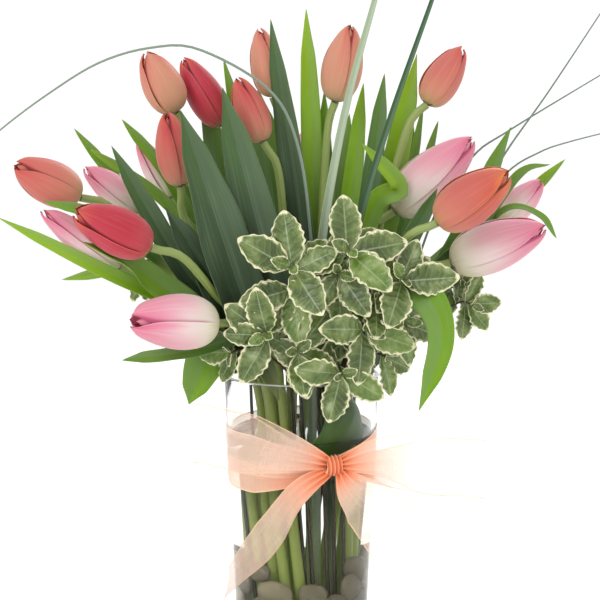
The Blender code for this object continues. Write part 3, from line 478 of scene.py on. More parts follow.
def main_twig(name, shift, count):
    """Return a sprig's main twig from the vase floor into its first rosette."""
    foot, neck = PLACES[name]
    rosette = SPRIGS[name][0]
    middle, axis = Vector(rosette[0]), Vector(rosette[1]).normalized()
    heart = neck.lerp(middle, 0.3) + Vector((0, 0, TWIG_ARCH)) + shift
    return through([foot, foot.lerp(neck, 0.5), neck, heart, middle - axis * TWIG_TURN,
                    middle + axis * TWIG_END], count)


def side_twig(start, bend, rosette, count):
    """Return a side twig from the main twig into its rosette."""
    middle, axis = Vector(rosette[0]), Vector(rosette[1]).normalized()
    half_way = start.lerp(middle, 0.5) + Vector((0, 0, SIDE_TWIG_ARCH)) + bend
    return through([start, half_way, middle - axis * SIDE_TWIG_TURN, middle + axis * TWIG_END], count)


def rosette_leaves(rosette):
    """Return (way, lean, length, root's distance from the twig's end) for each leaf of a rosette."""
    _, _, ways, size = rosette
    outer = [(math.radians(way), math.radians(80 - 6 * (i % 3)), size, 8 - 2 * (i % 3))
             for i, way in enumerate(ways)]
    behind = [(math.radians(ways[0] + 40) + GOLDEN_ANGLE * (i + 1), math.radians(92), size * 0.86,
               16 + 3 * i) for i in range(BACK_LEAVES)]
    inner = [(math.radians(ways[0]) + GOLDEN_ANGLE * (i + 0.5), math.radians(48 - 16 * i),
              size * (0.4 - 0.08 * i), 2) for i in range(INNER_LEAVES)]
    return outer + behind + inner


def sprig_leaf_line(twig, opening, leaf, choice, shares):
    """Return a rosette leaf's middle line at shares of its length, the way its upper side faces and that
    length."""
    way, lean, length, back = leaf
    turn, tilt, shorter = choice
    axis = Vector(opening).normalized()
    across = (Vector((1, 0, 0)) - axis * axis.x).normalized()
    out = math.cos(way + turn) * across + math.sin(way + turn) * axis.cross(across)
    along = math.cos(lean + tilt) * axis + math.sin(lean + tilt) * out
    face = math.sin(lean + tilt) * axis - math.cos(lean + tilt) * out
    length *= shorter
    root = back_along(twig, back)
    line = [root + along * (length * s) - face * (SPRIG_LEAF_BEND * length * s * s) for s in shares]
    return line, face, length


# ---------------------------------------------------------------- choices read back from the frame

def node_tree(name):
    """Return a search tree of a frame node's surface, in metres."""
    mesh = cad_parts[name].data
    return BVHTree.FromPolygons([v.co for v in mesh.vertices], [p.vertices[:] for p in mesh.polygons])


def settled(tree, points_of, choices, needed=None):
    """Return the choice that has most of its points, in millimetres, on a node's surface. If fewer than
    four in ten are on it, return None, or stop with the name of a piece that is needed."""
    best, most = None, 0.4
    for choice in choices:
        points = points_of(choice)
        share = sum(tree.find_nearest(p * MM)[3] < ON_SURFACE for p in points) / len(points)
        if share > most:
            best, most = choice, share
        if share > 0.95:
            break
    if needed and best is None:
        raise RuntimeError(f"{needed} isn't where its node is")
    return best


PLACES = standing_places()

# A flower's outline: a share of its height, and how wide it is there as a share of its width
OUTLINE = through([(height, 0, width) for height, width in (
    (0.0, 0.2), (0.06, 0.6), (0.2, 0.91), (0.4, 1.02), (0.62, 0.92), (0.84, 0.63), (0.95, 0.36),
    (1.0, 0.12))], 60)
PETAL_PROFILE = ([p.x for p in OUTLINE], [p.z for p in OUTLINE])


# ---------------------------------------------------------------- thin shells and meshes

def shell(grid, thick):
    """Return a closed thin blade from a grid of points, rows along it and columns across.

    Both faces share the points of the border, so the margins are sharp. Returned are the vertices, the
    faces, and each vertex's place across and along the blade from 0 to 1.
    """
    rows, cols = grid.shape[:2]
    normal = np.cross(np.gradient(grid, axis=1), np.gradient(grid, axis=0))
    normal /= np.maximum(np.linalg.norm(normal, axis=2, keepdims=True), 1e-9)
    upper = grid + normal * thick[..., None] / 2
    lower = grid - normal * thick[..., None] / 2
    above = np.arange(rows * cols).reshape(rows, cols)
    below = above.copy()
    below[1:-1, 1:-1] = rows * cols + np.arange((rows - 2) * (cols - 2)).reshape(rows - 2, cols - 2)
    upper[0], upper[-1], upper[:, 0], upper[:, -1] = grid[0], grid[-1], grid[:, 0], grid[:, -1]
    verts = np.concatenate([upper.reshape(-1, 3), lower[1:-1, 1:-1].reshape(-1, 3)])
    faces = np.concatenate([
        np.stack([above[:-1, :-1], above[:-1, 1:], above[1:, 1:], above[1:, :-1]], axis=-1).reshape(-1, 4),
        np.stack([below[:-1, :-1], below[1:, :-1], below[1:, 1:], below[:-1, 1:]], axis=-1).reshape(-1, 4)])
    place = np.stack(np.meshgrid(np.linspace(0, 1, cols), np.linspace(0, 1, rows)), axis=-1)
    place = np.concatenate([place.reshape(-1, 2), place[1:-1, 1:-1].reshape(-1, 2)])
    return verts, faces, place


def swelling(rows, cols, thickness):
    """Return a blade's thickness over its grid: fullest along the middle, nothing at the margins."""
    v, u = np.linspace(0, 1, rows)[:, None], np.linspace(-1, 1, cols)[None, :]
    return thickness * np.sqrt(np.clip(1 - u ** 2, 0, 1)) * np.clip(np.minimum(v, 1 - v) * 12, 0, 1) ** 0.5


class Gathered:
    """Blades gathered into one mesh, each vertex with its place on its blade and its blade's tone."""

    def __init__(self):
        self.verts, self.faces, self.places, self.tones, self.count = [], [], [], [], 0

    def add(self, blade, tone):
        """Add a blade, in millimetres; tone, for all of it or each vertex, is what its material reads."""
        verts, faces, place = blade
        self.verts.append(verts)
        self.faces.append(faces + self.count)
        self.places.append(place)
        self.tones.append(np.full(len(verts), tone))
        self.count += len(verts)

    def piece(self, name, nodes, slot, mat):
        """Make the mesh a piece of the model that stands for its frame nodes."""
        verts = np.concatenate(self.verts) * MM
        faces = np.concatenate(self.faces)
        mesh = bpy.data.meshes.new(name)
        mesh.from_pydata(verts.tolist(), [], faces.tolist())
        corners = np.empty(len(mesh.loops), dtype=np.int32)
        mesh.loops.foreach_get("vertex_index", corners)
        place = np.concatenate(self.places)[corners].astype(np.float32)
        mesh.uv_layers.new(name="place").data.foreach_set("uv", place.ravel())
        tones = np.concatenate(self.tones).astype(np.float32)
        mesh.attributes.new("tone", "FLOAT", "POINT").data.foreach_set("value", tones)
        mesh.polygons.foreach_set("use_smooth", [True] * len(mesh.polygons))
        mesh.materials.append(mat)
        return joined_in(bpy.data.objects.new(name, mesh), nodes)


def joined_in(obj, nodes):
    """Put an object in the scene as a piece of the model; return it."""
    if obj.name not in bpy.context.scene.objects:
        bpy.context.scene.collection.objects.link(obj)
    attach(obj, "root")
    if nodes:
        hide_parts(*nodes)
    return obj


def blade_grid(path, half, ups, cols, lift):
    """Return the grid of a blade along a path; half is its half width at each row, and lift(v, u) is how
    far its surface rises, as a share of that half width, at a share v of its length and u of its width."""
    points = np.array([p[:] for p in path])
    along = np.gradient(points, axis=0)
    along /= np.linalg.norm(along, axis=1, keepdims=True)
    side = np.cross(along, ups)
    side /= np.linalg.norm(side, axis=1, keepdims=True)
    out = np.cross(side, along)
    v = np.linspace(0, 1, len(points))[:, None]
    u = np.sin(np.linspace(-1, 1, cols) * math.pi / 2)[None, :]
    half = np.asarray(half)[:, None]
    across = (half * u)[..., None] * side[:, None, :]
    rise = (half * lift(v, u))[..., None] * out[:, None, :]
    return points[:, None, :] + across + rise


def turned_shape(outline, segments):
    """Return the vertices and faces of a closed shape made by turning an outline of (radius, height)."""
    verts, faces, rings = [], [], []
    for radius, height in outline:
        if radius < 1e-6:
            rings.append([len(verts)] * segments)
            verts.append((0, 0, height * MM))
            continue
        rings.append(list(range(len(verts), len(verts) + segments)))
        verts += [(radius * MM * math.cos(math.tau * s / segments),
                   radius * MM * math.sin(math.tau * s / segments), height * MM) for s in range(segments)]
    for low, high in zip(rings, rings[1:]):
        for s in range(segments):
            t = (s + 1) % segments
            corners = [low[s], low[t], high[t], high[s]]
            faces.append([c for i, c in enumerate(corners) if c not in corners[:i]])
    return verts, faces


def smooth_object(name, verts, faces, mat):
    """Return an object of a mesh in metres, shaded smooth."""
    mesh = bpy.data.meshes.new(name)
    mesh.from_pydata(verts, [], faces)
    mesh.materials.append(mat)
    mesh.polygons.foreach_set("use_smooth", [True] * len(mesh.polygons))
    return bpy.data.objects.new(name, mesh)


# ---------------------------------------------------------------- node helpers

def add(tree, kind, ins=None, **settings):
    """Add a node with its settings, its input values and its links, and return it."""
    made = tree.nodes.new(kind)
    for name, value in settings.items():
        setattr(made, name, value)
    for key, value in (ins or {}).items():
        if isinstance(value, bpy.types.NodeSocket):
            tree.links.new(value, made.inputs[key])
        else:
            made.inputs[key].default_value = value
    return made


def linear(colour):
    """Return an sRGB hex colour as linear red, green, blue and alpha."""
    parts = [int(colour.lstrip("#")[i:i + 2], 16) / 255 for i in (0, 2, 4)]
    return tuple(p / 12.92 if p <= 0.04045 else ((p + 0.055) / 1.055) ** 2.4 for p in parts) + (1.0,)


def new_material(name):
    """Return a material, its tree and its Principled shader."""
    mat = bpy.data.materials.new(name)
    mat.use_nodes = True
    return mat, mat.node_tree, mat.node_tree.nodes["Principled BSDF"]


def ramp(tree, fac, stops):
    """Return the colour of a ramp through (place, hex colour) stops, read at fac."""
    made = add(tree, "ShaderNodeValToRGB", {0: fac})
    elements = made.color_ramp.elements
    while len(elements) < len(stops):
        elements.new(0.5)
    for element, (at, colour) in zip(elements, stops):
        element.position = at
        element.color = linear(colour)
    return made.outputs["Color"]


# ---------------------------------------------------------------- materials of the plants

def blade_place(tree):
    """Return sockets for a blade's place, its shares across and along, a value that grows from 0 at its
    middle to 1 at its margins, and its tone."""
    place = add(tree, "ShaderNodeUVMap", uv_map="place").outputs["UV"]
    parts = add(tree, "ShaderNodeSeparateXYZ", {0: place})
    centred = add(tree, "ShaderNodeMath", {0: parts.outputs["X"], 1: 2.0, 2: -1.0}, operation="MULTIPLY_ADD")
    across = add(tree, "ShaderNodeMath", {0: centred.outputs[0]}, operation="ABSOLUTE")
    tone = add(tree, "ShaderNodeAttribute", attribute_name="tone").outputs["Fac"]
    return place, parts.outputs["X"], parts.outputs["Y"], across.outputs[0], tone


def own_place(tree, place, tone, apart):
    """Return a blade's place moved by its tone, so that its pattern is its own."""
    raised = add(tree, "ShaderNodeCombineXYZ", {"Z": tone}).outputs[0]
    return add(tree, "ShaderNodeVectorMath", {0: raised, 1: (0, 0, apart), 2: place},
               operation="MULTIPLY_ADD").outputs[0]


def ribbing(tree, place, lines, length, detail=2.0):
    """Return a value from 0 to 1 that varies in fine lines lengthwise, that many across the blade."""
    spread = add(tree, "ShaderNodeMapping", {"Vector": place, "Scale": (lines, length, 1)})
    return add(tree, "ShaderNodeTexNoise", {"Vector": spread.outputs[0], "Scale": 1.0, "Detail": detail,
                                            "Roughness": 0.6}).outputs["Fac"]


def blend(tree, share, under, over, low, high, top=1.0):
    """Return the colour over laid on under where share grows from low to high, at most by top."""
    eased = add(tree, "ShaderNodeMapRange", {"Value": share, "From Min": low, "From Max": high,
                                             "To Max": top}, interpolation_type="SMOOTHSTEP")
    under, over = [linear(c) if isinstance(c, str) else c for c in (under, over)]
    return add(tree, "ShaderNodeMix", {0: eased.outputs[0], 6: under, 7: over}, data_type="RGBA").outputs[2]


def set_surface(tree, shader, colour, rough, relief, strength, depth):
    """Give a shader its colour, its roughness and the bumps of a relief, whose depth is in metres."""
    tree.links.new(colour, shader.inputs["Base Color"])
    shader.inputs["Roughness"].default_value = rough
    bump = add(tree, "ShaderNodeBump", {"Strength": strength, "Distance": depth, "Height": relief})
    tree.links.new(bump.outputs[0], shader.inputs["Normal"])


def let_light_through(mat, tree, shader, colour, share):
    """Let a thin plant part glow where light falls on its far side."""
    glow = add(tree, "ShaderNodeBsdfTranslucent", {"Color": colour})
    mixed = add(tree, "ShaderNodeMixShader", {0: share, 1: shader.outputs[0], 2: glow.outputs[0]})
    tree.links.new(mixed.outputs[0], tree.nodes["Material Output"].inputs["Surface"])
    return mat


def petal_material(name, look):
    """Tulip petal: a living, lightly waxed petal with fine lengthwise ribs; satin, and it glows against
    the light. Painted shade darkens its left margin, where it tucks under its neighbour, and paints the
    inner petals dark below their tips, as the shade inside the flower. Ribs are about 0.5 mm apart."""
    mat, tree, shader = new_material(name)
    place, sideways, along, across, tone = blade_place(tree)
    own = own_place(tree, place, tone, 60)
    ribs = ribbing(tree, own, 40, 1.2)
    broad = ribbing(tree, own, 7, 1.0)
    ragged = add(tree, "ShaderNodeMath", {0: broad, 1: 0.4, 2: along}, operation="MULTIPLY_ADD")
    ragged = add(tree, "ShaderNodeMath", {0: ribs, 1: 0.2, 2: ragged.outputs[0]}, operation="MULTIPLY_ADD")
    even = add(tree, "ShaderNodeMath", {0: ragged.outputs[0], 1: 0.3}, operation="SUBTRACT").outputs[0]
    colour = ramp(tree, even, look["along"])
    middle = blend(tree, across, look["flame"], colour, 0.0, 0.6)
    colour = blend(tree, along, colour, middle, 0.1, 0.5, 0.7)
    colour = blend(tree, ribs, colour, look["rib"], 0.48, 0.78, 0.45)
    colour = blend(tree, across, colour, look["margin"], 0.8, 1.0, 0.8)
    # painted shade: the margin that tucks under the next petal takes the dark inside colour
    shaded = blend(tree, sideways, look["inside"], colour, 0.17, 0.27)
    colour = blend(tree, along, colour, shaded, 0.08, 0.3)
    # painted shade: an inner petal, by its low tone, takes the dark inside colour below its tip
    deep = blend(tree, along, look["inside"], colour, 0.75, 0.97)
    colour = blend(tree, tone, deep, colour, 0.46, 0.48)
    set_surface(tree, shader, colour, 0.45, ribs, 0.4, 0.0004)
    shader.inputs["IOR"].default_value = 1.4
    shader.inputs["Sheen Weight"].default_value = 0.15
    return let_light_through(mat, tree, shader, colour, 0.3)


def leaf_material(name, tones, margin, bloom, lines, glow):
    """A smooth leaf with a waxy grey bloom, that many parallel veins and a paler margin; tone chooses its
    green.
    On the tulip leaves the tone is partly painted light and shade: darker for a leaf in the shade of the
    bunch, brighter for one lit through from behind."""
    mat, tree, shader = new_material(name)
    place, sideways, along, across, tone = blade_place(tree)
    veins = ribbing(tree, place, lines, 1.2, 3.0)
    cloud = add(tree, "ShaderNodeTexNoise", {"Vector": place, "Scale": 4.0, "Detail": 3.0}).outputs["Fac"]
    # on tulip leaves the tone carries painted light and shade as well as the leaf's age
    shifted = add(tree, "ShaderNodeMath", {0: cloud, 1: 0.24, 2: tone}, operation="MULTIPLY_ADD").outputs[0]
    upper = add(tree, "ShaderNodeMath", {0: along, 1: 0.34, 2: shifted}, operation="MULTIPLY_ADD").outputs[0]
    even = add(tree, "ShaderNodeMath", {0: upper, 1: 0.3}, operation="SUBTRACT").outputs[0]
    colour = ramp(tree, even, tones)
    bloomed = blend(tree, veins, colour, bloom, 0.42, 0.8, 0.4)
    colour = blend(tree, cloud, colour, bloomed, 0.35, 0.6)
    paler = blend(tree, veins, colour, bloom, 0.0, 0.6, 0.28)
    colour = blend(tree, sideways, colour, paler, 0.48, 0.53)
    colour = blend(tree, across, bloom, colour, -0.05, 0.035)
    colour = blend(tree, across, colour, margin, 0.93, 1.0, 0.75)
    colour = blend(tree, along, "#C3CF8A", colour, 0.0, 0.2)
    set_surface(tree, shader, colour, 0.44, veins, 0.4, 0.0004)
    shader.inputs["IOR"].default_value = 1.42
    return let_light_through(mat, tree, shader, colour, glow)


def pittosporum_material():
    """Pittosporum leaf: leathery, green with grey-green clouds, an uneven cream margin and pale side veins
    about 4 mm apart; satin with a soft highlight on each ripple."""
    mat, tree, shader = new_material("pittosporum leaf, variegated")
    place, _, along, across, tone = blade_place(tree)
    own = own_place(tree, place, tone, 40)
    ragged = add(tree, "ShaderNodeTexNoise", {"Vector": own, "Scale": 9.0, "Detail": 4.0,
                                              "Roughness": 0.7}).outputs["Fac"]
    cloud = add(tree, "ShaderNodeTexNoise", {"Vector": own, "Scale": 3.0, "Detail": 3.0}).outputs["Fac"]
    edge = add(tree, "ShaderNodeMath", {0: ragged, 1: 0.9, 2: across}, operation="MULTIPLY_ADD").outputs[0]
    tips = add(tree, "ShaderNodeMath", {0: ragged, 1: 0.14, 2: along}, operation="MULTIPLY_ADD").outputs[0]
    slanted = add(tree, "ShaderNodeMath", {0: across, 1: -0.22, 2: along}, operation="MULTIPLY_ADD")
    netted = add(tree, "ShaderNodeMath", {0: cloud, 1: 0.3, 2: slanted.outputs[0]},
                 operation="MULTIPLY_ADD").outputs[0]
    side_veins = add(tree, "ShaderNodeMath", {0: netted, 1: 52.0}, operation="MULTIPLY").outputs[0]
    side_veins = add(tree, "ShaderNodeMath", {0: side_veins}, operation="SINE").outputs[0]
    older = ramp(tree, cloud, [(0.3, "#4A5A2B"), (0.48, "#617539"), (0.62, "#839355"), (0.8, "#BEC8A2")])
    younger = ramp(tree, cloud, [(0.3, "#5B782B"), (0.48, "#74903D"), (0.62, "#93A760"), (0.8, "#BDC99C")])
    colour = blend(tree, tone, older, younger, 0.2, 0.9)
    colour = blend(tree, side_veins, colour, "#9DB585", 0.7, 1.0, 0.2)
    colour = blend(tree, across, "#AFC292", colour, -0.03, 0.06)
    colour = blend(tree, edge, colour, "#A9B77C", 0.98, 1.12, 0.6)
    colour = blend(tree, edge, colour, "#F8F4CC", 1.13, 1.17)
    colour = blend(tree, tips, colour, "#F8F4CC", 0.98, 1.02)
    set_surface(tree, shader, colour, 0.22, side_veins, 0.35, 0.0004)
    shader.inputs["IOR"].default_value = 1.55
    return let_light_through(mat, tree, shader, colour, 0.22)


def stalk_material(name, along_colours, streak, rough, glow):
    """A round stalk, smooth or barked, whose colour changes up its length, with fine lengthwise streaks."""
    mat, tree, shader = new_material(name)
    along = add(tree, "ShaderNodeAttribute", attribute_name="along").outputs["Fac"]
    rounded = add(tree, "ShaderNodeAttribute", attribute_name="round").outputs["Vector"]
    upward = add(tree, "ShaderNodeCombineXYZ", {"Z": along}).outputs[0]
    spot = add(tree, "ShaderNodeVectorMath", {0: rounded, 1: upward}, operation="ADD").outputs[0]
    spread = add(tree, "ShaderNodeMapping", {"Vector": spot, "Scale": (5, 5, 9)}).outputs[0]
    streaks = add(tree, "ShaderNodeTexNoise", {"Vector": spread, "Scale": 1.0, "Detail": 4.0}).outputs["Fac"]
    colour = ramp(tree, along, along_colours)
    colour = blend(tree, streaks, colour, streak, 0.4, 0.75, 0.5)
    set_surface(tree, shader, colour, rough, streaks, 0.3, 0.0005)
    return let_light_through(mat, tree, shader, colour, glow)


# ---------------------------------------------------------------- materials of vase, stones and ribbon

def clear_material(name, colour, ior, gloss):
    """Clear glass or still water, smooth all over: the light of lamps passes straight on to what stands
    behind it. It reflects only the share gloss of what its index gives, because the white surroundings
    would otherwise lie over everything inside as a veil."""
    mat, tree, shader = new_material(name)
    shader.inputs["Base Color"].default_value = linear(colour)
    shader.inputs["Roughness"].default_value = 0.0
    shader.inputs["IOR"].default_value = ior
    shader.inputs["Specular Tint"].default_value = (gloss, gloss, gloss, 1)
    shader.inputs["Transmission Weight"].default_value = 1.0
    path = add(tree, "ShaderNodeLightPath")
    free = add(tree, "ShaderNodeBsdfTransparent", {"Color": linear(colour)})
    mixed = add(tree, "ShaderNodeMixShader", {0: path.outputs["Is Shadow Ray"], 1: shader.outputs[0],
                                              2: free.outputs[0]})
    tree.links.new(mixed.outputs[0], tree.nodes["Material Output"].inputs["Surface"])
    return mat


def painted_rim_highlight():
    """The crown of the rim, melted round in a flame. It is painted white and lets little through, a painted
    highlight for the thin bright line of light caught in it."""
    mat, _, shader = new_material("clear soda glass, rim painted as highlight")
    shader.inputs["Base Color"].default_value = linear("#FFFFFF")
    shader.inputs["Roughness"].default_value = 0.12
    shader.inputs["IOR"].default_value = 1.5
    shader.inputs["Transmission Weight"].default_value = 0.3
    return mat


def stone_material():
    """River stone: tumbled smooth by water, grey to brown from stone to stone, with specks about 1 mm
    across and clouds about 11 mm across; it looks half polished under water."""
    mat, tree, shader = new_material("river stone, tumbled")
    kind = add(tree, "ShaderNodeAttribute", attribute_name="stone").outputs["Fac"]
    spot = add(tree, "ShaderNodeTexCoord").outputs["Object"]
    grain = add(tree, "ShaderNodeTexNoise", {"Vector": spot, "Scale": 900.0, "Detail": 3.0}).outputs["Fac"]
    cloud = add(tree, "ShaderNodeTexNoise", {"Vector": spot, "Scale": 90.0, "Detail": 2.0}).outputs["Fac"]
    colour = ramp(tree, kind, [(0.0, "#4A4236"), (0.35, "#93846A"), (0.65, "#5F5646"), (1.0, "#B0A080")])
    colour = blend(tree, cloud, colour, "#B0A38D", 0.5, 0.8, 0.3)
    colour = blend(tree, grain, colour, "#3F3B38", 0.6, 0.75, 0.5)
    set_surface(tree, shader, colour, 0.35, grain, 0.3, 0.0003)
    return mat


def organza_material(look):
    """Organza: sheer plain weave of twisted filament with a firm selvage; it is clear where it lies single
    and deepens where it is gathered. Its threads, 0.2 mm apart, are drawn 0.8 mm apart to show at all.
    The place along and across is in units of 100 mm."""
    mat, tree, shader = new_material("organza, sheer plain weave")
    place = add(tree, "ShaderNodeUVMap", uv_map="place").outputs["UV"]
    parts = add(tree, "ShaderNodeSeparateXYZ", {0: place})
    layers = add(tree, "ShaderNodeAttribute", attribute_name="tone").outputs["Fac"]
    middle = add(tree, "ShaderNodeMath", {0: parts.outputs["X"], 1: 2 / (RIBBON_WIDTH / 100), 2: -1.0},
                 operation="MULTIPLY_ADD")
    across = add(tree, "ShaderNodeMath", {0: middle.outputs[0]}, operation="ABSOLUTE").outputs[0]
    threads = []
    for scale in ((125, 6, 1), (6, 125, 1)):
        spread = add(tree, "ShaderNodeMapping", {"Vector": place, "Scale": scale}).outputs[0]
        threads.append(add(tree, "ShaderNodeTexNoise", {"Vector": spread, "Scale": 1.0, "Detail": 1.0})
                       .outputs["Fac"])
    weave = add(tree, "ShaderNodeMath", {0: threads[0], 1: threads[1]}, operation="MAXIMUM").outputs[0]
    colour = blend(tree, layers, (*look.colour, 1), (*look.deep_colour, 1), 0.25, 1.0)
    colour = blend(tree, across, colour, "#F7C9A2", 0.94, 0.97, 0.8)
    cover = add(tree, "ShaderNodeMapRange", {"Value": weave, "From Min": 0.35, "From Max": 0.75,
                                             "To Min": look.cover - 0.06, "To Max": look.cover + 0.08})
    deeper = add(tree, "ShaderNodeMath", {0: layers, 1: 1.2, 2: cover.outputs[0]},
                 operation="MULTIPLY_ADD").outputs[0]
    selvage = add(tree, "ShaderNodeMapRange", {"Value": across, "From Min": 0.95, "From Max": 0.975,
                                               "To Max": 0.4}).outputs[0]
    alpha = add(tree, "ShaderNodeMath", {0: deeper, 1: selvage}, operation="ADD", use_clamp=True).outputs[0]
    tree.links.new(alpha, shader.inputs["Alpha"])
    set_surface(tree, shader, colour, 0.45, weave, 0.15, 0.0003)
    shader.inputs["Sheen Weight"].default_value = 0.25
    shader.inputs["Sheen Roughness"].default_value = 0.4
    return mat


# ---------------------------------------------------------------- geometry nodes

def new_tree(name, inputs):
    """Return a geometry node tree with named inputs, with its input and output nodes."""
    tree = bpy.data.node_groups.new(name, "GeometryNodeTree")
    tree.interface.new_socket("Geometry", in_out="OUTPUT", socket_type="NodeSocketGeometry")
    tree.interface.new_socket("Geometry", in_out="INPUT", socket_type="NodeSocketGeometry")
    for label, kind, value in inputs:
        made = tree.interface.new_socket(label, in_out="INPUT", socket_type=kind)
        if value is not None:
            made.default_value = value
    return tree, tree.nodes.new("NodeGroupInput"), tree.nodes.new("NodeGroupOutput")


def set_inputs(modifier, values):
    """Set a geometry nodes modifier's inputs, found by the identifiers of their sockets."""
    for item in modifier.node_group.interface.items_tree:
        if item.item_type == "SOCKET" and item.in_out == "INPUT" and item.name in values:
            modifier[item.identifier] = values[item.name]


def grown(obj, tree, values):
    """Grow an object's mesh with a geometry node tree and leave it as a plain mesh."""
    bpy.context.scene.collection.objects.link(obj)
    modifier = obj.modifiers.new("grown", "NODES")
    modifier.node_group = tree
    set_inputs(modifier, values)
    graph = bpy.context.evaluated_depsgraph_get()
    mesh = bpy.data.meshes.new_from_object(obj.evaluated_get(graph))
    obj.modifiers.remove(modifier)
    obj.data = mesh
    mesh.name = obj.name
    return obj


def stalk_tree():
    """Return the tree that turns lines into round stalks, as thick as their girth at each point."""
    tree, inlet, outlet = new_tree("round stalk along a line", [
        ("Sides", "NodeSocketInt", STEM_SIDES), ("Material", "NodeSocketMaterial", None)])
    line = add(tree, "GeometryNodeMeshToCurve", {0: inlet.outputs["Geometry"]})
    share = add(tree, "GeometryNodeSplineParameter").outputs["Factor"]
    marked = add(tree, "GeometryNodeStoreNamedAttribute",
                 {"Geometry": line.outputs[0], "Name": "along", "Value": share}, domain="POINT")
    girth = add(tree, "GeometryNodeInputNamedAttribute", {"Name": "girth"}).outputs["Attribute"]
    circle = add(tree, "GeometryNodeCurvePrimitiveCircle", {"Resolution": inlet.outputs["Sides"],
                                                            "Radius": 1.0})
    spot = add(tree, "GeometryNodeInputPosition").outputs[0]
    section = add(tree, "GeometryNodeStoreNamedAttribute", {"Geometry": circle.outputs[0], "Name": "round"},
                  data_type="FLOAT_VECTOR", domain="POINT")
    tree.links.new(spot, section.inputs["Value"])
    tube = add(tree, "GeometryNodeCurveToMesh", {"Curve": marked.outputs[0],
                                                 "Profile Curve": section.outputs[0],
                                                 "Scale": girth, "Fill Caps": True})
    smooth = add(tree, "GeometryNodeSetShadeSmooth", {"Geometry": tube.outputs[0]})
    real = add(tree, "GeometryNodeRealizeInstances", {"Geometry": smooth.outputs[0]})
    coated = add(tree, "GeometryNodeSetMaterial", {"Geometry": real.outputs[0],
                                                   "Material": inlet.outputs["Material"]})
    tree.links.new(coated.outputs[0], outlet.inputs[0])
    return tree


def stalk_object(name, lines, tree, sides, mat):
    """Return an object of round stalks along lines, each a path in millimetres with its two end radii."""
    verts, edges, girths = [], [], []
    for path, foot_radius, top_radius in lines:
        edges += [(len(verts) + i, len(verts) + i + 1) for i in range(len(path) - 1)]
        girths += [(foot_radius + (top_radius - foot_radius) * i / (len(path) - 1)) * MM
                   for i in range(len(path))]
        verts += [tuple(p * MM) for p in path]
    mesh = bpy.data.meshes.new(name)
    mesh.from_pydata(verts, edges, [])
    mesh.attributes.new("girth", "FLOAT", "POINT").data.foreach_set("value", girths)
    return grown(bpy.data.objects.new(name, mesh), tree, {"Sides": sides, "Material": mat})


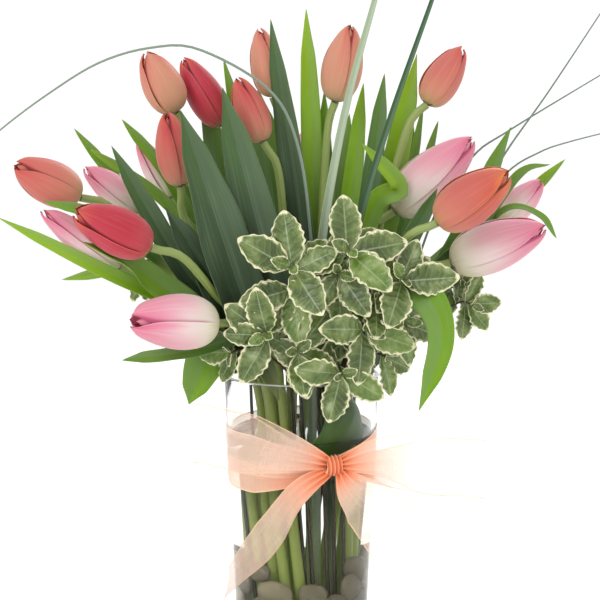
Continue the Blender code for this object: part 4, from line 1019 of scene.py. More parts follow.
def pebble_tree():
    """Return the tree that lays pebbles in rings, one layer on another, against the inside of the glass."""
    tree, inlet, outlet = new_tree("pebbles in layers", [
        ("Pebbles in a layer", "NodeSocketInt", 9), ("Layers", "NodeSocketInt", 4),
        *((name, "NodeSocketFloat", size) for name, size in PEBBLE_SIZES.items()),
        ("Seed", "NodeSocketInt", PEBBLE_SEED), ("Material", "NodeSocketMaterial", None)])

    def scattered(low, high, draw):
        """Return a value between two limits for each pebble; each draw gives it another."""
        seed = add(tree, "ShaderNodeMath", {0: inlet.outputs["Seed"], 1: float(draw)}, operation="ADD")
        return add(tree, "FunctionNodeRandomValue", {2: low, 3: high, "Seed": seed.outputs[0]},
                   data_type="FLOAT").outputs[1]

    each, layers = inlet.outputs["Pebbles in a layer"], inlet.outputs["Layers"]
    index = add(tree, "GeometryNodeInputIndex").outputs[0]
    laid_so_far = add(tree, "ShaderNodeMath", {0: index, 1: each}, operation="DIVIDE").outputs[0]
    layer = add(tree, "ShaderNodeMath", {0: laid_so_far}, operation="FLOOR").outputs[0]
    shifted = add(tree, "ShaderNodeMath", {0: layer, 1: 0.5, 2: index}, operation="MULTIPLY_ADD").outputs[0]
    rounds = add(tree, "ShaderNodeMath", {0: shifted, 1: each}, operation="DIVIDE").outputs[0]
    turn = add(tree, "ShaderNodeMath", {0: rounds, 1: math.tau, 2: scattered(-0.12, 0.12, 1)},
               operation="MULTIPLY_ADD").outputs[0]
    out = add(tree, "ShaderNodeMath", {0: layer, 1: 0.0006, 2: inlet.outputs["Ring radius"]},
              operation="MULTIPLY_ADD").outputs[0]
    radius = add(tree, "ShaderNodeMath", {0: out, 1: scattered(-0.001, 0.0008, 2)},
                 operation="ADD").outputs[0]
    up = add(tree, "ShaderNodeMath", {0: layer, 1: inlet.outputs["Layer height"],
                                      2: inlet.outputs["Lowest middle"]}, operation="MULTIPLY_ADD").outputs[0]
    height = add(tree, "ShaderNodeMath", {0: up, 1: scattered(-0.0015, 0.0015, 3)},
                 operation="ADD").outputs[0]
    right, behind = [add(tree, "ShaderNodeMath", {0: turn}, operation=way).outputs[0]
                     for way in ("COSINE", "SINE")]
    x, y = [add(tree, "ShaderNodeMath", {0: radius, 1: way}, operation="MULTIPLY").outputs[0]
            for way in (right, behind)]
    spot = add(tree, "ShaderNodeCombineXYZ", {0: x, 1: y, 2: height})
    count = add(tree, "ShaderNodeMath", {0: each, 1: layers}, operation="MULTIPLY").outputs[0]
    points = add(tree, "GeometryNodePoints", {"Count": count, "Position": spot.outputs[0]})
    in_front = add(tree, "ShaderNodeMath", {0: behind, 1: -math.cos(OPEN_ARC)}, operation="LESS_THAN")
    below_top = add(tree, "ShaderNodeMath", {0: layers, 1: 1.5}, operation="SUBTRACT").outputs[0]
    on_top = add(tree, "ShaderNodeMath", {0: layer, 1: below_top}, operation="GREATER_THAN")
    left_out = add(tree, "ShaderNodeMath", {0: in_front.outputs[0], 1: on_top.outputs[0]},
                   operation="MULTIPLY").outputs[0]
    points = add(tree, "GeometryNodeDeleteGeometry", {"Geometry": points.outputs[0], "Selection": left_out})
    ball = add(tree, "GeometryNodeMeshIcoSphere", {"Radius": 1.0, "Subdivisions": 4})
    way = add(tree, "ShaderNodeCombineXYZ", {0: scattered(-0.5, 0.5, 4), 1: scattered(-0.12, 0.12, 5),
                                             2: turn})
    thick, long = inlet.outputs["Half thickness"], inlet.outputs["Half length"]
    halves = [add(tree, "ShaderNodeMath", {0: half, 1: share}, operation="MULTIPLY").outputs[0]
              for half, share in ((thick, scattered(0.8, 1.05, 6)), (long, scattered(0.8, 1.15, 7)),
                                  (long, scattered(0.6, 0.85, 8)))]
    size = add(tree, "ShaderNodeCombineXYZ", dict(enumerate(halves)))
    laid = add(tree, "GeometryNodeInstanceOnPoints", {
        "Points": points.outputs[0], "Instance": ball.outputs[0], "Rotation": way.outputs[0],
        "Scale": size.outputs[0]})
    kinds = add(tree, "GeometryNodeStoreNamedAttribute", {"Geometry": laid.outputs[0], "Name": "stone",
                                                          "Value": scattered(0.0, 1.0, 9)}, domain="INSTANCE")
    real = add(tree, "GeometryNodeRealizeInstances", {"Geometry": kinds.outputs[0]})
    place = add(tree, "GeometryNodeInputPosition").outputs[0]
    lumps = add(tree, "ShaderNodeTexNoise", {"Vector": place, "Scale": 95.0, "Detail": 1.0}).outputs["Color"]
    centred = add(tree, "ShaderNodeVectorMath", {0: lumps, 1: (0.5, 0.5, 0.5)}, operation="SUBTRACT")
    push = add(tree, "ShaderNodeVectorMath", {0: centred.outputs[0], 1: (0.003, 0.003, 0.003)},
               operation="MULTIPLY")
    worn = add(tree, "GeometryNodeSetPosition", {"Geometry": real.outputs[0], "Offset": push.outputs[0]})
    smooth = add(tree, "GeometryNodeSetShadeSmooth", {"Geometry": worn.outputs[0]})
    coated = add(tree, "GeometryNodeSetMaterial", {"Geometry": smooth.outputs[0],
                                                   "Material": inlet.outputs["Material"]})
    tree.links.new(coated.outputs[0], outlet.inputs[0])
    return tree


# ---------------------------------------------------------------- settings a user would change

class FlowerSettings(bpy.types.PropertyGroup):
    thickness: bpy.props.FloatProperty(
        name="Petal thickness", description="Thickness at the middle of a petal, in millimetres",
        default=0.8, min=0.2, max=2)
    margin_lift: bpy.props.FloatProperty(
        name="Margin lift", description="How far a petal's right margin stands out, in millimetres",
        default=0.6, min=0, max=3)


class LeafSettings(bpy.types.PropertyGroup):
    thickness: bpy.props.FloatProperty(
        name="Leaf thickness", description="Thickness along a tulip leaf's midrib, in millimetres",
        default=1.1, min=0.3, max=3)
    waviness: bpy.props.FloatProperty(
        name="Waviness", description="How far a leaf's margins wave, as a share of its half width",
        subtype="FACTOR", default=0.12, min=0, max=0.5)


class SprigSettings(bpy.types.PropertyGroup):
    ripple: bpy.props.FloatProperty(
        name="Ripple", description="How deep the margins ripple, as a share of the leaf's length",
        subtype="FACTOR", default=0.035, min=0, max=0.15)
    width: bpy.props.FloatProperty(
        name="Leaf width", description="Widest width of a leaf, as a share of its length",
        subtype="FACTOR", default=0.56, min=0.3, max=0.8)


class VaseSettings(bpy.types.PropertyGroup):
    water_height: bpy.props.FloatProperty(
        name="Water height", description="Height of the water above the table",
        default=0.140, min=0.06, max=0.17, unit="LENGTH")
    pebbles_in_layer: bpy.props.IntProperty(
        name="Pebbles in a layer", description="How many pebbles lie side by side round the vase",
        default=9, min=3, max=16)
    pebble_layers: bpy.props.IntProperty(
        name="Pebble layers", description="How many layers of pebbles lie on each other",
        default=4, min=1, max=6)


class RibbonSettings(bpy.types.PropertyGroup):
    colour: bpy.props.FloatVectorProperty(
        name="Colour", description="Colour of a single layer of the ribbon", subtype="COLOR",
        default=linear("#F5D5C0")[:3], min=0, max=1)
    deep_colour: bpy.props.FloatVectorProperty(
        name="Gathered colour", description="Colour of the ribbon where it is gathered", subtype="COLOR",
        default=linear("#F0905F")[:3], min=0, max=1)
    cover: bpy.props.FloatProperty(
        name="Cover", description="How much a single layer hides what is behind it", subtype="FACTOR",
        default=0.14, min=0.02, max=0.9)


class StudioSettings(bpy.types.PropertyGroup):
    surroundings: bpy.props.FloatProperty(
        name="Surroundings", description="Brightness of the white surroundings", default=1.08, min=0, max=3)
    key_light: bpy.props.FloatProperty(
        name="Key light", description="Power of the soft light at the front left", default=7.0, min=0,
        max=60, unit="POWER")
    back_light: bpy.props.FloatProperty(
        name="Back light", description="Power of the soft light behind and above", default=9.0, min=0,
        max=60, unit="POWER")


# ---------------------------------------------------------------- tulip flowers

def tepal(base, axis, across, length, width, turn, form):
    """Return one petal of a closed tulip as a thin cupped shell: its right margin stands over the next
    petal's left one.

    In form, inset is how far the petal lies inside the flower's outline, open how far its tip stands apart,
    reach how far it goes round to each side, point how blunt its tip is, lift how far its right margin
    stands out, phase where its ridges and waves start, and height its share of the flower's height.
    """
    other = axis.cross(across)
    v = np.linspace(0, 1, PETAL_ROWS)[:, None]
    u = np.sin(np.linspace(-1, 1, PETAL_COLS) * math.pi / 2)[None, :]
    grown_out = np.clip(v * 5, 0, 1)
    swell = np.interp(v, *PETAL_PROFILE) * width / 2
    radius = np.maximum(swell - form["inset"] * grown_out * np.clip((1.1 - v) * 4, 0, 1), 0.2)
    radius = radius + form["open"] * width * v ** 4
    angle = form["reach"] * np.clip(1 - v ** form["point"], 0, 1) ** 0.55 * u
    lift = form["lift"] * (u + 0.3 * np.abs(u) ** 6)
    crease = -0.45 * np.exp(-(u / 0.14) ** 2) * np.sin(v * math.pi) * v
    ridges = 0.13 * np.sin(u * 15 + form["phase"]) * np.sin(v * math.pi)
    waves = 0.35 * np.abs(u) ** 4 * np.sin(v * 9 + form["phase"]) * v
    radius = radius + (lift + crease + ridges + waves) * grown_out * np.clip((1.04 - v) * 6, 0, 1)
    height = length * form["height"] * (v - 0.025 * np.abs(u) * v)
    spot = (np.array(base)[None, None, :] + height[..., None] * np.array(axis)
            + (radius * np.cos(angle + turn))[..., None] * np.array(across)
            + (radius * np.sin(angle + turn))[..., None] * np.array(other))
    return shell(spot, swelling(PETAL_ROWS, PETAL_COLS, form["thickness"]))


class TULIPS_OT_flowers(bpy.types.Operator):
    """Build the closed tulip flowers, six overlapping petals each"""
    bl_idname = "tulips.flowers"
    bl_label = "Flowers"

    def execute(self, context):
        settings = context.scene.tulip_flowers
        materials = {name: petal_material(f"tulip petal, {name.replace('_', ' ')}", look)
                     for name, look in PETAL_LOOKS.items()}
        for number, (base, tip, width) in TULIPS.items():
            look, seam, opening = FLOWER_LOOKS[number]
            chance = random.Random(number)
            axis = Vector(tip) - Vector(base)
            length = axis.length
            axis.normalize()
            facing = (Vector((0, -1, 0)) - axis * -axis.y).normalized()
            flower = Gathered()
            for index in range(6):
                outer = index % 2 == 0
                turn = math.radians(seam) - OUTER_REACH + index * math.pi / 3
                form = {
                    "inset": 0.5 if outer else 1.9, "open": opening if outer else opening * 0.5,
                    "reach": OUTER_REACH if outer else INNER_REACH, "point": chance.uniform(8, 10),
                    "lift": settings.margin_lift if outer else 0.2, "phase": chance.uniform(0, 6),
                    "thickness": settings.thickness,
                    "height": chance.uniform(0.965, 1.0) if outer else chance.uniform(0.93, 0.96)}
                # painted shade: an inner petal's tone, under 0.46, makes its material paint it dark as the
                # shade inside the flower
                tone = chance.uniform(0.5, 1.0) if outer else chance.uniform(0.35, 0.45)
                flower.add(tepal(base, axis, facing, length, width, turn, form), tone)
            flower.piece(f"tulip_{number:02d}_petals", [f"tulip_{number:02d}_flower"], PETAL_SLOTS[look],
                         materials[look])
        return {"FINISHED"}


# ---------------------------------------------------------------- stems and tulip leaves

def tulip_leaf(root, leaf, slender, choice, settings, chance):
    """Return a tulip leaf: channelled, with softly waved margins."""
    points, tip, width, faces = leaf
    path, facing = leaf_line(root, points, tip, faces, choice, LEAF_ROWS)
    share = np.linspace(0, 1, LEAF_ROWS)
    half = [(LEAF_ROOT_WIDTH + (width - LEAF_ROOT_WIDTH) * leaf_width(s)) / 2
            * slender * min(1, (1 - s) / LEAF_POINT) ** 0.6 for s in share]
    half[-1] = 0.1
    ups = np.array([facing[0].lerp(facing[-1], s)[:] for s in share])
    phase, waves = chance.uniform(0, 6), chance.uniform(2.2, 3.6)

    def lift(v, u):
        channel = LEAF_FOLD * (1.9 - 0.9 * np.clip(v * 3, 0, 1)) * np.abs(u) ** 1.5
        wave = settings.waviness * np.abs(u) ** 2 * np.sin(math.tau * waves * v + phase + 1.7 * (u > 0))
        return channel + wave * np.clip(v * 3, 0, 1)

    return shell(blade_grid(path, half, ups, LEAF_COLS, lift),
                 swelling(LEAF_ROWS, LEAF_COLS, settings.thickness))


class TULIPS_OT_stems(bpy.types.Operator):
    """Build the tulip stems and their leaves"""
    bl_idname = "tulips.stems"
    bl_label = "Stems and leaves"

    def execute(self, context):
        settings = context.scene.tulip_leaves
        tree = stalk_tree()
        stem_mat = stalk_material("tulip stem", [(0.0, "#E2E69E"), (0.12, "#C6D474"), (0.45, "#ADB95A"),
                                                 (0.8, "#93A852"), (1.0, "#9DB06A")], "#CCD688", 0.4, 0.3)
        leaf_mat = leaf_material("tulip leaf, waxed", LEAF_TONES, "#B7C99A", "#869F7E", 22, 0.3)
        shifts = (0, 4, -4, 8, -8, 12, -12, 17, -17)
        turns = [math.radians(a) for a in (0, 20, -20, 40, -40)]
        # (shift back or forward, turn, share of the length, rise of the root), the smallest changes first
        choices = sorted(itertools.product(shifts, turns, (1, 0.85), (0, 14, 28, -20)),
                         key=lambda c: abs(c[0]) / 4 + abs(c[1]) * 2.5 + (1 - c[2]) * 12 + abs(c[3]) / 10)
        tests = {number: node_tree(f"tulip_{number:02d}_stem") for number in TULIPS}
        leaves = {}
        for index, (number, height, *leaf, tone) in enumerate(LEAVES):
            points, tip, width, faces = leaf
            coarse = through(stem_points(number), STEM_STATIONS)

            def margins(choice):
                line, facing = leaf_line(root_on(coarse, height + choice[3]), points, tip, faces, choice,
                                         LEAF_STATIONS)
                widths = [LEAF_ROOT_WIDTH + (width - LEAF_ROOT_WIDTH) * leaf_width(i / (LEAF_STATIONS - 1))
                          for i in range(LEAF_STATIONS - 1)]
                clear_of_stem = margin_points(line, widths + [1], facing, LEAF_FOLD)[4:]
                return clear_of_stem

            choice = settled(tests[number], margins, choices, f"leaf {index}")
            root = root_on(coarse, height + choice[3])
            leaves.setdefault(number, Gathered()).add(
                tulip_leaf(root, leaf, SLENDER.get(index, 1), choice, settings,
                           random.Random(LEAF_SEED + index)), tone)
        for number in TULIPS:
            node = f"tulip_{number:02d}_stem"
            line = through(stem_points(number), STEM_ROWS)
            stem = stalk_object(f"tulip_{number:02d}_stalk", [(line, STEM_RADIUS, STEM_TOP_RADIUS)], tree,
                                STEM_SIDES, stem_mat)
            joined_in(stem, [node])
            if number in leaves:
                leaves[number].piece(f"tulip_{number:02d}_leaves", [node], "tulip_leaf", leaf_mat)
        return {"FINISHED"}


# ---------------------------------------------------------------- grasses

class TULIPS_OT_grasses(bpy.types.Operator):
    """Build the grass blades and the wiry needles"""
    bl_idname = "tulips.grasses"
    bl_label = "Grasses"

    def execute(self, context):
        shifts = (0, 3, -3, 6, -6, 9, -9, 12, -12, 16, -16)
        needle_mat = leaf_material("needle grass, wiry", [(0.0, "#5C6A60"), (1.0, "#7C8A7E")], "#8C988C",
                                   "#8C988C", 5, 0.1)
        for name, (points, width) in {**GRASSES, **NEEDLES}.items():
            broad = name in GRASSES
            count = GRASS_STATIONS if broad else NEEDLE_STATIONS

            def widths(n):
                return [width * (0.55 + 0.45 * math.sin(math.pi * min(1, i / n * 1.1))) for i in range(n - 1)]

            def margins(shift):
                return margin_points(grass_line(name, points, shift, count), widths(count) + [0.8],
                                     [GRASS_FACE], 0.2)

            shift = settled(node_tree(name), margins, shifts, name)
            line = grass_line(name, points, shift, GRASS_ROWS)
            slim = GRASS_TURNED.get(name, 1)
            half = [w / 2 * slim for w in widths(GRASS_ROWS)] + [0.1]
            grid = blade_grid(line, half, np.tile(GRASS_FACE, (GRASS_ROWS, 1)), GRASS_COLS,
                              lambda v, u: 0.35 * np.abs(u) ** 1.3 + 0 * v)
            blade = Gathered()
            blade.add(shell(grid, swelling(GRASS_ROWS, GRASS_COLS, max(0.7, width * 0.16))), 0.5)
            mat = needle_mat
            if broad:
                tones, margin = GRASS_LOOKS[name]
                mat = leaf_material(f"{name.replace('_', ' ')}, ribbed", tones, margin, margin, 9, 0.25)
            blade.piece(f"{name}_blade", [name], "grass_blade" if broad else "needle_grass", mat)
        return {"FINISHED"}


# ---------------------------------------------------------------- pittosporum

def variegated_leaf(line, face, length, settings, chance):
    """Return a pittosporum leaf: elliptic, on a short stalk, with its margins rippled."""
    share = np.linspace(0, 1, SPRIG_ROWS)
    blade = np.clip((share - 0.07) / 0.93, 0, 1)
    outline = np.sin(math.pi * blade ** 0.88) ** 0.72 * settings.width / 2
    phase, waves = chance.uniform(0, 6), chance.uniform(5.0, 6.6)
    ragged = 1 + 0.05 * np.sin(share * waves * math.tau * 1.2 + phase)
    half = np.maximum(outline * ragged, 0.022) * length
    half[-1] = 0.15
    ups = np.tile(face[:], (SPRIG_ROWS, 1))
    other_phase, bow, lean = chance.uniform(0, 6), chance.uniform(0.02, 0.2), chance.uniform(-0.25, 0.25)

    def lift(v, u):
        fold = (0.1 + bow) * np.abs(u) ** 1.5 + lean * u * np.sin(v * math.pi)
        slow = 0.16 * np.sin(math.tau * 1.3 * v + other_phase) * np.abs(u) ** 1.5 * np.where(u > 0, 1, -0.8)
        ripple = np.sin(math.tau * waves * v + np.where(u > 0, phase, other_phase)) * np.abs(u) ** 3
        return fold + (slow + ripple * settings.ripple / (settings.width / 2)) * np.clip(v * 5, 0, 1)

    return shell(blade_grid(line, half, ups, SPRIG_COLS, lift), swelling(SPRIG_ROWS, SPRIG_COLS, 0.7))


class TULIPS_OT_sprigs(bpy.types.Operator):
    """Build the pittosporum sprigs: twigs and rosettes of variegated leaves"""
    bl_idname = "tulips.sprigs"
    bl_label = "Pittosporum sprigs"

    def execute(self, context):
        settings = context.scene.tulip_sprigs
        leaf_mat = pittosporum_material()
        twig_mat = stalk_material("pittosporum twig, thin bark", [
            (0.0, "#574C39"), (0.5, "#383126"), (0.85, "#3E4529"), (1.0, "#556238")], "#655F4A", 0.6, 0.0)
        tree = stalk_tree()
        for order, (name, rosettes) in enumerate(SPRIGS.items()):
            test = node_tree(name)
            coarse, fine = self.twigs(name, rosettes, test)
            joined_in(stalk_object(f"{name}_twigs", fine, tree, BARK_SIDES, twig_mat), [name])
            leaves = self.leaves(coarse, rosettes, test, settings, random.Random(SPRIG_SEED + order))
            leaves.piece(f"{name}_leaves", [name], "pittosporum_leaf", leaf_mat)
        return {"FINISHED"}

    def twigs(self, name, rosettes, test):
        """Return the middle lines of a sprig's twigs as its node has them, and the smooth ones with the
        radii of their two ends."""
        bends = [Vector(s) for s in itertools.product((0, 4, -4, 9, -9), (0, 5, -5, 10), (0, 6))]
        bends.sort(key=lambda s: s.length)
        shift = settled(test, lambda s: ring_points(main_twig(name, s, TWIG_STATIONS), TWIG_RADIUS,
                                                    TWIG_SIDES), bends, name)
        coarse = [main_twig(name, shift, TWIG_STATIONS)]
        fine = [(main_twig(name, shift, TWIG_ROWS), TWIG_RADIUS, TWIG_TIP_RADIUS)]
        start = root_on(coarse[0], FORK_HEIGHT)
        for rosette in rosettes[1:]:
            bend = settled(test, lambda b: ring_points(side_twig(start, b, rosette, SIDE_TWIG_STATIONS),
                                                       SIDE_TWIG_RADIUS, SIDE_TWIG_SIDES),
                           bends, f"{name}'s side twig")
            coarse.append(side_twig(start, bend, rosette, SIDE_TWIG_STATIONS))
            fine.append((side_twig(start, bend, rosette, SIDE_TWIG_ROWS), SIDE_TWIG_RADIUS,
                         SIDE_TWIG_TIP_RADIUS))
        return coarse, fine

    def leaves(self, twigs, rosettes, test, settings, chance):
        """Return a sprig's leaves, apart from any that its node doesn't have."""
        turns = [math.radians(a) for a in (0, 18, -18, 36, -36)]
        tilts = [math.radians(a) for a in (0, -16, 14, -32)]
        choices = list(itertools.product(turns, tilts, (1, 0.8)))
        shares = [i / (SPRIG_ROWS - 1) for i in range(SPRIG_ROWS)]
        leaves = Gathered()
        for twig, rosette in zip(twigs, rosettes):
            for leaf in rosette_leaves(rosette):
                def margins(choice):
                    line, face, length = sprig_leaf_line(twig, rosette[1], leaf, choice, SPRIG_LEAF_STATIONS)
                    widths = [width * length for width in SPRIG_LEAF_WIDTHS]
                    return margin_points(line, widths, [face], SPRIG_LEAF_FOLD)

                choice = settled(test, margins, choices)
                if choice is not None:
                    line, face, length = sprig_leaf_line(twig, rosette[1], leaf, choice, shares)
                    leaves.add(variegated_leaf(line, face, length, settings, chance), chance.random())
        return leaves


# ---------------------------------------------------------------- vase, water and pebbles

def vase_radius(height):
    """Return the outer radius of the vase at a height."""
    return VASE_FOOT_RADIUS + (VASE_RIM_RADIUS - VASE_FOOT_RADIUS) * height / VASE_HEIGHT


def arc(middle, radius, start, end, count):
    """Return points of an arc in an outline, with its angles in degrees."""
    angles = [math.radians(start + (end - start) * i / (count - 1)) for i in range(count)]
    return [(middle[0] + radius * math.cos(a), middle[1] + radius * math.sin(a)) for a in angles]


def inner_outline(top, swell):
    """Return the inside of the glass from a height down to the middle of its floor, swollen outward."""
    low = VASE_FLOOR + FLOOR_ROUNDING
    heights = [top - (top - low) * i / 12 for i in range(13)]
    wall = [(vase_radius(z) - VASE_WALL + swell, z) for z in heights]
    corner = arc((wall[-1][0] - FLOOR_ROUNDING, low), FLOOR_ROUNDING, 0, -90, 8)[1:]
    return wall + [(r, z - swell) for r, z in corner] + [(12, VASE_FLOOR - swell), (0, VASE_FLOOR - swell)]


class TULIPS_OT_vase(bpy.types.Operator):
    """Build the glass vase"""
    bl_idname = "tulips.vase"
    bl_label = "Vase"

    def execute(self, context):
        mat = clear_material("clear soda glass, pressed and fire polished", "#FBFDFC", 1.5, 0.12)
        rim_height = VASE_HEIGHT - VASE_WALL / 2
        underside = [(0, 0.9), (30, 0.6), (36, 0)]
        foot = arc((vase_radius(0) - FOOT_ROUNDING, FOOT_ROUNDING), FOOT_ROUNDING, -90, 0, 6)
        wall = [(vase_radius(z), z) for z in (20, 50, 80, 110, 140, rim_height)]
        rim = arc((VASE_RIM_RADIUS - VASE_WALL / 2, rim_height), VASE_WALL / 2, 0, 180, 9)[1:]
        inside = inner_outline(rim_height, 0)[1:]
        verts, faces = turned_shape(underside + foot + wall + rim + inside, VASE_SEGMENTS)
        glass = smooth_object("vase_glass", verts, faces, mat)
        glass.data.materials.append(painted_rim_highlight())
        # painted highlight: the faces of the rim's top band take the white rim material
        for polygon in glass.data.polygons:
            polygon.material_index = int(polygon.center.z > (VASE_HEIGHT - RIM_HIGHLIGHT_HEIGHT) * MM)
        joined_in(glass, ["vase"])
        return {"FINISHED"}


class TULIPS_OT_water(bpy.types.Operator):
    """Fill the vase with water, which creeps up the glass a little at its edge"""
    bl_idname = "tulips.water"
    bl_label = "Water"

    def execute(self, context):
        level = context.scene.tulip_vase.water_height / MM
        mat = clear_material("still water", "#FBFDF9", 1.33, 0.05)
        edge = vase_radius(level) - VASE_WALL + WATER_OVERLAP
        top = [(0, level)] + [(edge - way, level + rise) for way, rise in WATER_EDGE]
        outline = (top + inner_outline(level, WATER_OVERLAP)[1:])[::-1]
        verts, faces = turned_shape(outline, VASE_SEGMENTS)
        joined_in(smooth_object("vase_water", verts, faces, mat), [])
        return {"FINISHED"}


class TULIPS_OT_pebbles(bpy.types.Operator):
    """Lay river pebbles between the stems and the glass"""
    bl_idname = "tulips.pebbles"
    bl_label = "Pebbles"

    def execute(self, context):
        settings = context.scene.tulip_vase
        obj = bpy.data.objects.new("vase_pebbles", bpy.data.meshes.new("vase_pebbles"))
        grown(obj, pebble_tree(), {
            **PEBBLE_SIZES, "Pebbles in a layer": settings.pebbles_in_layer,
            "Layers": settings.pebble_layers, "Seed": PEBBLE_SEED, "Material": stone_material()})
        joined_in(obj, ["pebble_bed"])
        return {"FINISHED"}


# ---------------------------------------------------------------- ribbon

def cloth(grid, length):
    """Return a sheet of ribbon from a grid; its place is in units of 100 mm."""
    rows, cols = grid.shape[:2]
    index = np.arange(rows * cols).reshape(rows, cols)
    faces = np.stack([index[:-1, :-1], index[:-1, 1:], index[1:, 1:], index[1:, :-1]], axis=-1)
    place = np.stack(np.meshgrid(np.linspace(0, RIBBON_WIDTH / 100, cols),
                                 np.linspace(0, length / 100, rows)), axis=-1)
    return grid.reshape(-1, 3), faces.reshape(-1, 4), place.reshape(-1, 2)


def line_length(path):
    """Return the length of a path."""
    return sum((b - a).length for a, b in zip(path, path[1:]))


def ribbon_along(path, ups, half, gather, waves, slant=0.0):
    """Return the grid of a ribbon along a path, pleated where it is gathered; ups point across it."""
    points = np.array([p[:] for p in path])
    v = np.linspace(0, 1, len(points))
    x = np.linspace(-1, 1, RIBBON_COLS)
    along = np.gradient(points, axis=0)
    along /= np.linalg.norm(along, axis=1, keepdims=True)
    wide = ups - along * (along * ups).sum(axis=1, keepdims=True)
    wide /= np.linalg.norm(wide, axis=1, keepdims=True)
    thin = np.cross(along, wide)
    share = v[:, None] * (1 - slant * (0.5 + 0.5 * x[None, :]) if slant > 0 else
                          1 + slant * (0.5 - 0.5 * x[None, :]))

    def at(values):
        return np.stack([np.interp(share, v, values[:, k]) for k in range(3)], axis=-1)

    g, h = np.interp(share, v, gather), np.interp(share, v, half)
    pleats = (0.12 + 1.4 * g) * np.sin(x[None, :] * 11 + 2.2 * share + waves)
    slow = 1.3 * (1 - g) * np.sin(share * math.tau * 1.6 + x[None, :] * 1.4 + waves)
    return (at(points) + at(wide) * (h * x[None, :])[..., None]
            + at(thin) * (pleats + slow)[..., None]), g


def knot_middle():
    """Return the middle of the knot, just in front of the band."""
    radius = vase_radius(BAND_HEIGHT) + BAND_GAP + RIBBON_THICKNESS + CLEAR + KNOT_DEPTH
    return Vector((radius * math.cos(KNOT_ANGLE), radius * math.sin(KNOT_ANGLE), BAND_HEIGHT + KNOT_RISE))


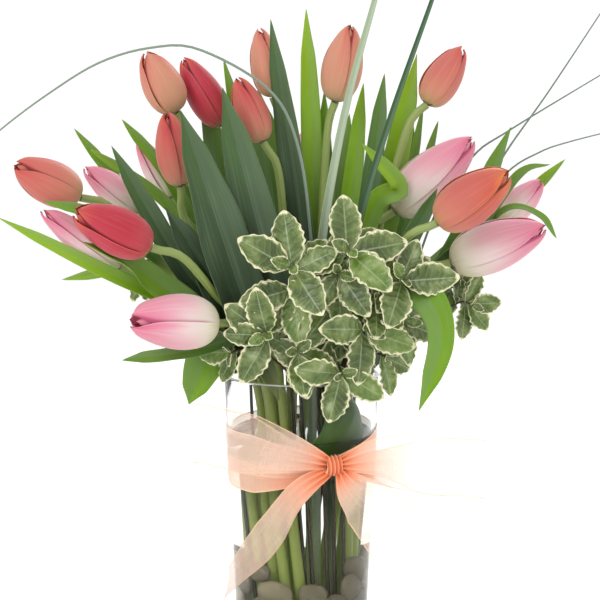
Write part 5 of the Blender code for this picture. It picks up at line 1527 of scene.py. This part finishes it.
class TULIPS_OT_ribbon(bpy.types.Operator):
    """Tie the organza ribbon: a band round the vase, a knot, two loops and two tails"""
    bl_idname = "tulips.ribbon"
    bl_label = "Organza bow"

    def execute(self, context):
        mat = organza_material(context.scene.tulip_ribbon)
        self.band(mat)
        self.knot(mat)
        self.loops(mat)
        self.tails(mat)
        return {"FINISHED"}

    def add(self, name, grid, tone, length, mat, node, held, rests_on):
        """Make a grid a sheet of ribbon of that flat length."""
        strip = Gathered()
        strip.add(cloth(grid, length), tone.reshape(-1))
        obj = strip.piece(name, [node], "peach_organza", mat)

    def band(self, mat):
        """Lay the band round the vase, pleated together where its ends meet under the knot."""
        turned = np.linspace(BAND_START, 360 - BAND_START, BAND_ROWS)[:, None]
        x = np.linspace(-1, 1, RIBBON_COLS)[None, :]
        near = np.minimum(turned, 360 - turned)
        grown_out = np.minimum(1, near / BAND_OPENING) ** 0.8
        half = RIBBON_PINCH + (RIBBON_WIDTH / 2 - RIBBON_PINCH) * grown_out
        gather = 1 - grown_out
        angle = KNOT_ANGLE + np.radians(turned)
        z = BAND_HEIGHT + half * x
        pleats = (0.15 + 0.9 * gather) * (1 + np.sin(x * 10 + near * 0.02))
        radius = vase_radius(z) + BAND_GAP - 0.2 + pleats
        grid = np.stack([radius * np.cos(angle), radius * np.sin(angle), z], axis=-1)
        folded = 0.32 + 0.2 * np.clip((0.15 - x) * 6, 0, 1) + 0.16 * (turned < 180)
        tone = folded + (1 - folded) * gather
        round_vase = math.pi * (vase_radius(BAND_HEIGHT - RIBBON_WIDTH / 2)
                                + vase_radius(BAND_HEIGHT + RIBBON_WIDTH / 2))
        self.add("ribbon_band_strip", grid[:, ::-1], tone[:, ::-1], round_vase, mat, "ribbon_band",
                 "stretched", ["vase"])

    def knot(self, mat):
        """Wrap the knot: one pleated turn of ribbon in front of the band."""
        middle = knot_middle()
        out = Vector((math.cos(KNOT_ANGLE), math.sin(KNOT_ANGLE), 0))
        side = Vector((-out.y, out.x, 0))
        a = np.linspace(0, math.tau, KNOT_ROWS)[:, None]
        x = np.linspace(-1, 1, KNOT_COLS)[None, :]
        bulge = 1 - 0.25 * x ** 2
        pleat = KNOT_PLEAT * np.sin(x * math.pi * 6 + 1.6 * np.sin(a + 0.8))
        depth = KNOT_DEPTH * bulge + pleat
        tall = KNOT_HEIGHT * bulge + pleat
        grid = (np.array(middle)[None, None, :] + (depth * np.cos(a))[..., None] * np.array(out)
                + (tall * np.sin(a))[..., None] * np.array((0, 0, 1.0))
                + (KNOT_WIDTH * x * (1 + 0 * a))[..., None] * np.array(side))
        self.add("ribbon_knot", grid, np.full(grid.shape[:2], 0.85), KNOT_LENGTH, mat, "ribbon_bow",
                 "gathered", ["ribbon_band_strip"])

    def loops(self, mat):
        """Lay the two loops, drawn together where they leave the knot and come back to it."""
        x, y, z = knot_middle()
        left, right = x - KNOT_WIDTH / 2, x + KNOT_WIDTH / 2
        runs = {
            "left": [(left, y - 1.5, z + 1), (-14, -65, 141), (-44, -69, 149), (-65, -60, 151),
                     (-60, -52, 149), (-36, -54, 143), (-12, -56, 135), (left, y + 1.5, z - 1)],
            "right": [(right, y - 1.5, z + 1), (52, -68, 138), (84, -66, 132), (114, -54, 127),
                      (106, -44, 126), (76, -46, 127), (48, -52, 128), (right, y + 1.5, z - 1)]}
        for waves, (side, points) in enumerate(runs.items()):
            path = through(points, LOOP_ROWS)
            share = np.linspace(0, 1, LOOP_ROWS)
            grown_out = np.minimum(1, np.minimum(share, 1 - share) / 0.3) ** 0.8
            half = RIBBON_DRAWN + (RIBBON_WIDTH / 2 - RIBBON_DRAWN) * grown_out
            ups = np.tile((0.0, 0.0, 1.0), (LOOP_ROWS, 1))
            grid, gather = ribbon_along(path, ups, half, 1 - grown_out, waves * 2.0 + 0.5)
            self.add(f"ribbon_loop_{side}", grid, 0.04 + 0.96 * gather ** 1.3, line_length(path), mat,
                     "ribbon_bow", "folded", ["ribbon_knot"])

    def tails(self, mat):
        """Hang the two tails, each cut off at a slant."""
        x, y, z = knot_middle()
        runs = {
            "left": ([(x - 3, y - 1, z - 3), (-4, -63, 112), (-27, -69, 80), (-53, -74, 49)],
                     (0.6, -0.8, 0), (0.97, -0.25, 0), 0.2, 0.34),
            "right": ([(x + 3, y - 1, z - 3), (32, -61, 116), (44, -62, 104), (59, -63, 82)],
                      (0, -1, 0), (0, -1, 0), -0.2, 0.16)}
        for waves, (side, (points, face, last_face, slant, layers)) in enumerate(runs.items()):
            path = through(points, TAIL_ROWS)
            share = np.linspace(0, 1, TAIL_ROWS)
            grown_out = np.minimum(1, share * 2.0) ** 0.9
            half = RIBBON_DRAWN + (TAIL_HALF_WIDTH - RIBBON_DRAWN) * grown_out
            ups = np.array([along.cross(Vector(face).lerp(Vector(last_face), s))[:]
                            for along, s in zip(tangents(path), share)])
            grid, gather = ribbon_along(path, ups, half, 1 - grown_out, waves * 1.7, slant)
            self.add(f"ribbon_tail_{side}", grid, layers + (1 - layers) * gather,
                     line_length(path) * (1 - abs(slant) / 2), mat, "ribbon_bow", "hung", ["ribbon_knot"])


# ---------------------------------------------------------------- studio

class TULIPS_OT_studio(bpy.types.Operator):
    """Set a white floor, soft studio light and the camera"""
    bl_idname = "tulips.studio"
    bl_label = "Studio"

    def execute(self, context):
        scene = context.scene
        settings = scene.tulip_studio
        mesh = bpy.data.meshes.new("floor")
        corners = [(x * FLOOR_REACH, y * FLOOR_REACH, 0) for x, y in ((-1, -1), (1, -1), (1, 1), (-1, 1))]
        mesh.from_pydata(corners, [], [(0, 1, 2, 3)])
        mat, _, shader = new_material("white paper sweep, matt")
        shader.inputs["Base Color"].default_value = linear("#FAFAF9")
        shader.inputs["Roughness"].default_value = 0.8
        mesh.materials.append(mat)
        floor = bpy.data.objects.new("floor", mesh)
        scene.collection.objects.link(floor)
        world = bpy.data.worlds.new("white surroundings")
        world.use_nodes = True
        background = world.node_tree.nodes["Background"]
        background.inputs["Color"].default_value = (1, 1, 1, 1)
        background.inputs["Strength"].default_value = settings.surroundings
        scene.world = world
        self.soft_light("key light", KEY_LIGHT_PLACE, settings.key_light)
        self.soft_light("back light", BACK_LIGHT_PLACE, settings.back_light)
        camera = bpy.data.objects.new("camera", bpy.data.cameras.new("camera"))
        camera.data.sensor_width = 36
        camera.data.lens = 18 / math.tan(VIEW_ANGLE / 2)
        back = Vector((0, -math.cos(VIEW_DOWN), math.sin(VIEW_DOWN)))
        camera.location = Vector(VIEW_TARGET) + back * VIEW_DISTANCE
        camera.rotation_euler = (math.pi / 2 - VIEW_DOWN, 0, 0)
        camera.data.clip_end = 60
        scene.collection.objects.link(camera)
        scene.camera = camera
        scene.view_settings.view_transform = "Standard"
        return {"FINISHED"}

    def soft_light(self, name, place, power):
        """Add a square soft light that points at the bunch."""
        lamp = bpy.data.lights.new(name, "AREA")
        lamp.size = LIGHT_SIZE
        lamp.energy = power
        obj = bpy.data.objects.new(name, lamp)
        obj.location = place
        obj.rotation_euler = (Vector(VIEW_TARGET) - Vector(place)).to_track_quat("-Z", "Y").to_euler()
        bpy.context.scene.collection.objects.link(obj)


# ---------------------------------------------------------------- panel and registration

class TULIPS_PT_panel(bpy.types.Panel):
    """List every piece of the bunch and its settings"""
    bl_idname = "TULIPS_PT_panel"
    bl_label = "Tulips in a vase"
    bl_space_type = "VIEW_3D"
    bl_region_type = "UI"
    bl_category = "Tulips"

    def draw(self, context):
        for operator, group in PANEL_ROWS:
            box = self.layout.box()
            box.operator(operator.bl_idname)
            if group:
                settings = getattr(context.scene, group)
                # the first two are Blender's own
                for name in settings.bl_rna.properties.keys()[2:]:
                    box.prop(settings, name)


GROUPS = {"tulip_flowers": FlowerSettings, "tulip_leaves": LeafSettings, "tulip_sprigs": SprigSettings,
          "tulip_vase": VaseSettings, "tulip_ribbon": RibbonSettings, "tulip_studio": StudioSettings}
PANEL_ROWS = [
    (TULIPS_OT_vase, None), (TULIPS_OT_water, None), (TULIPS_OT_pebbles, "tulip_vase"),
    (TULIPS_OT_flowers, "tulip_flowers"), (TULIPS_OT_stems, "tulip_leaves"), (TULIPS_OT_grasses, None),
    (TULIPS_OT_sprigs, "tulip_sprigs"), (TULIPS_OT_ribbon, "tulip_ribbon"),
    (TULIPS_OT_studio, "tulip_studio")]


def register():
    """Register the settings, the operators and the panel."""
    for name, group in GROUPS.items():
        bpy.utils.register_class(group)
        setattr(bpy.types.Scene, name, bpy.props.PointerProperty(type=group))
    for operator, _ in PANEL_ROWS:
        bpy.utils.register_class(operator)
    bpy.utils.register_class(TULIPS_PT_panel)


def unregister():
    """Take everything back."""
    bpy.utils.unregister_class(TULIPS_PT_panel)
    for operator, _ in reversed(PANEL_ROWS):
        bpy.utils.unregister_class(operator)
    for name, group in reversed(GROUPS.items()):
        delattr(bpy.types.Scene, name)
        bpy.utils.unregister_class(group)


def main():
    """Build every piece and the studio."""
    register()
    bpy.ops.tulips.vase()
    bpy.ops.tulips.water()
    bpy.ops.tulips.pebbles()
    bpy.ops.tulips.flowers()
    bpy.ops.tulips.stems()
    bpy.ops.tulips.grasses()
    bpy.ops.tulips.sprigs()
    bpy.ops.tulips.ribbon()
    bpy.ops.tulips.studio()
    bpy.context.view_layer.update()


if __name__ == "__main__":
    main()
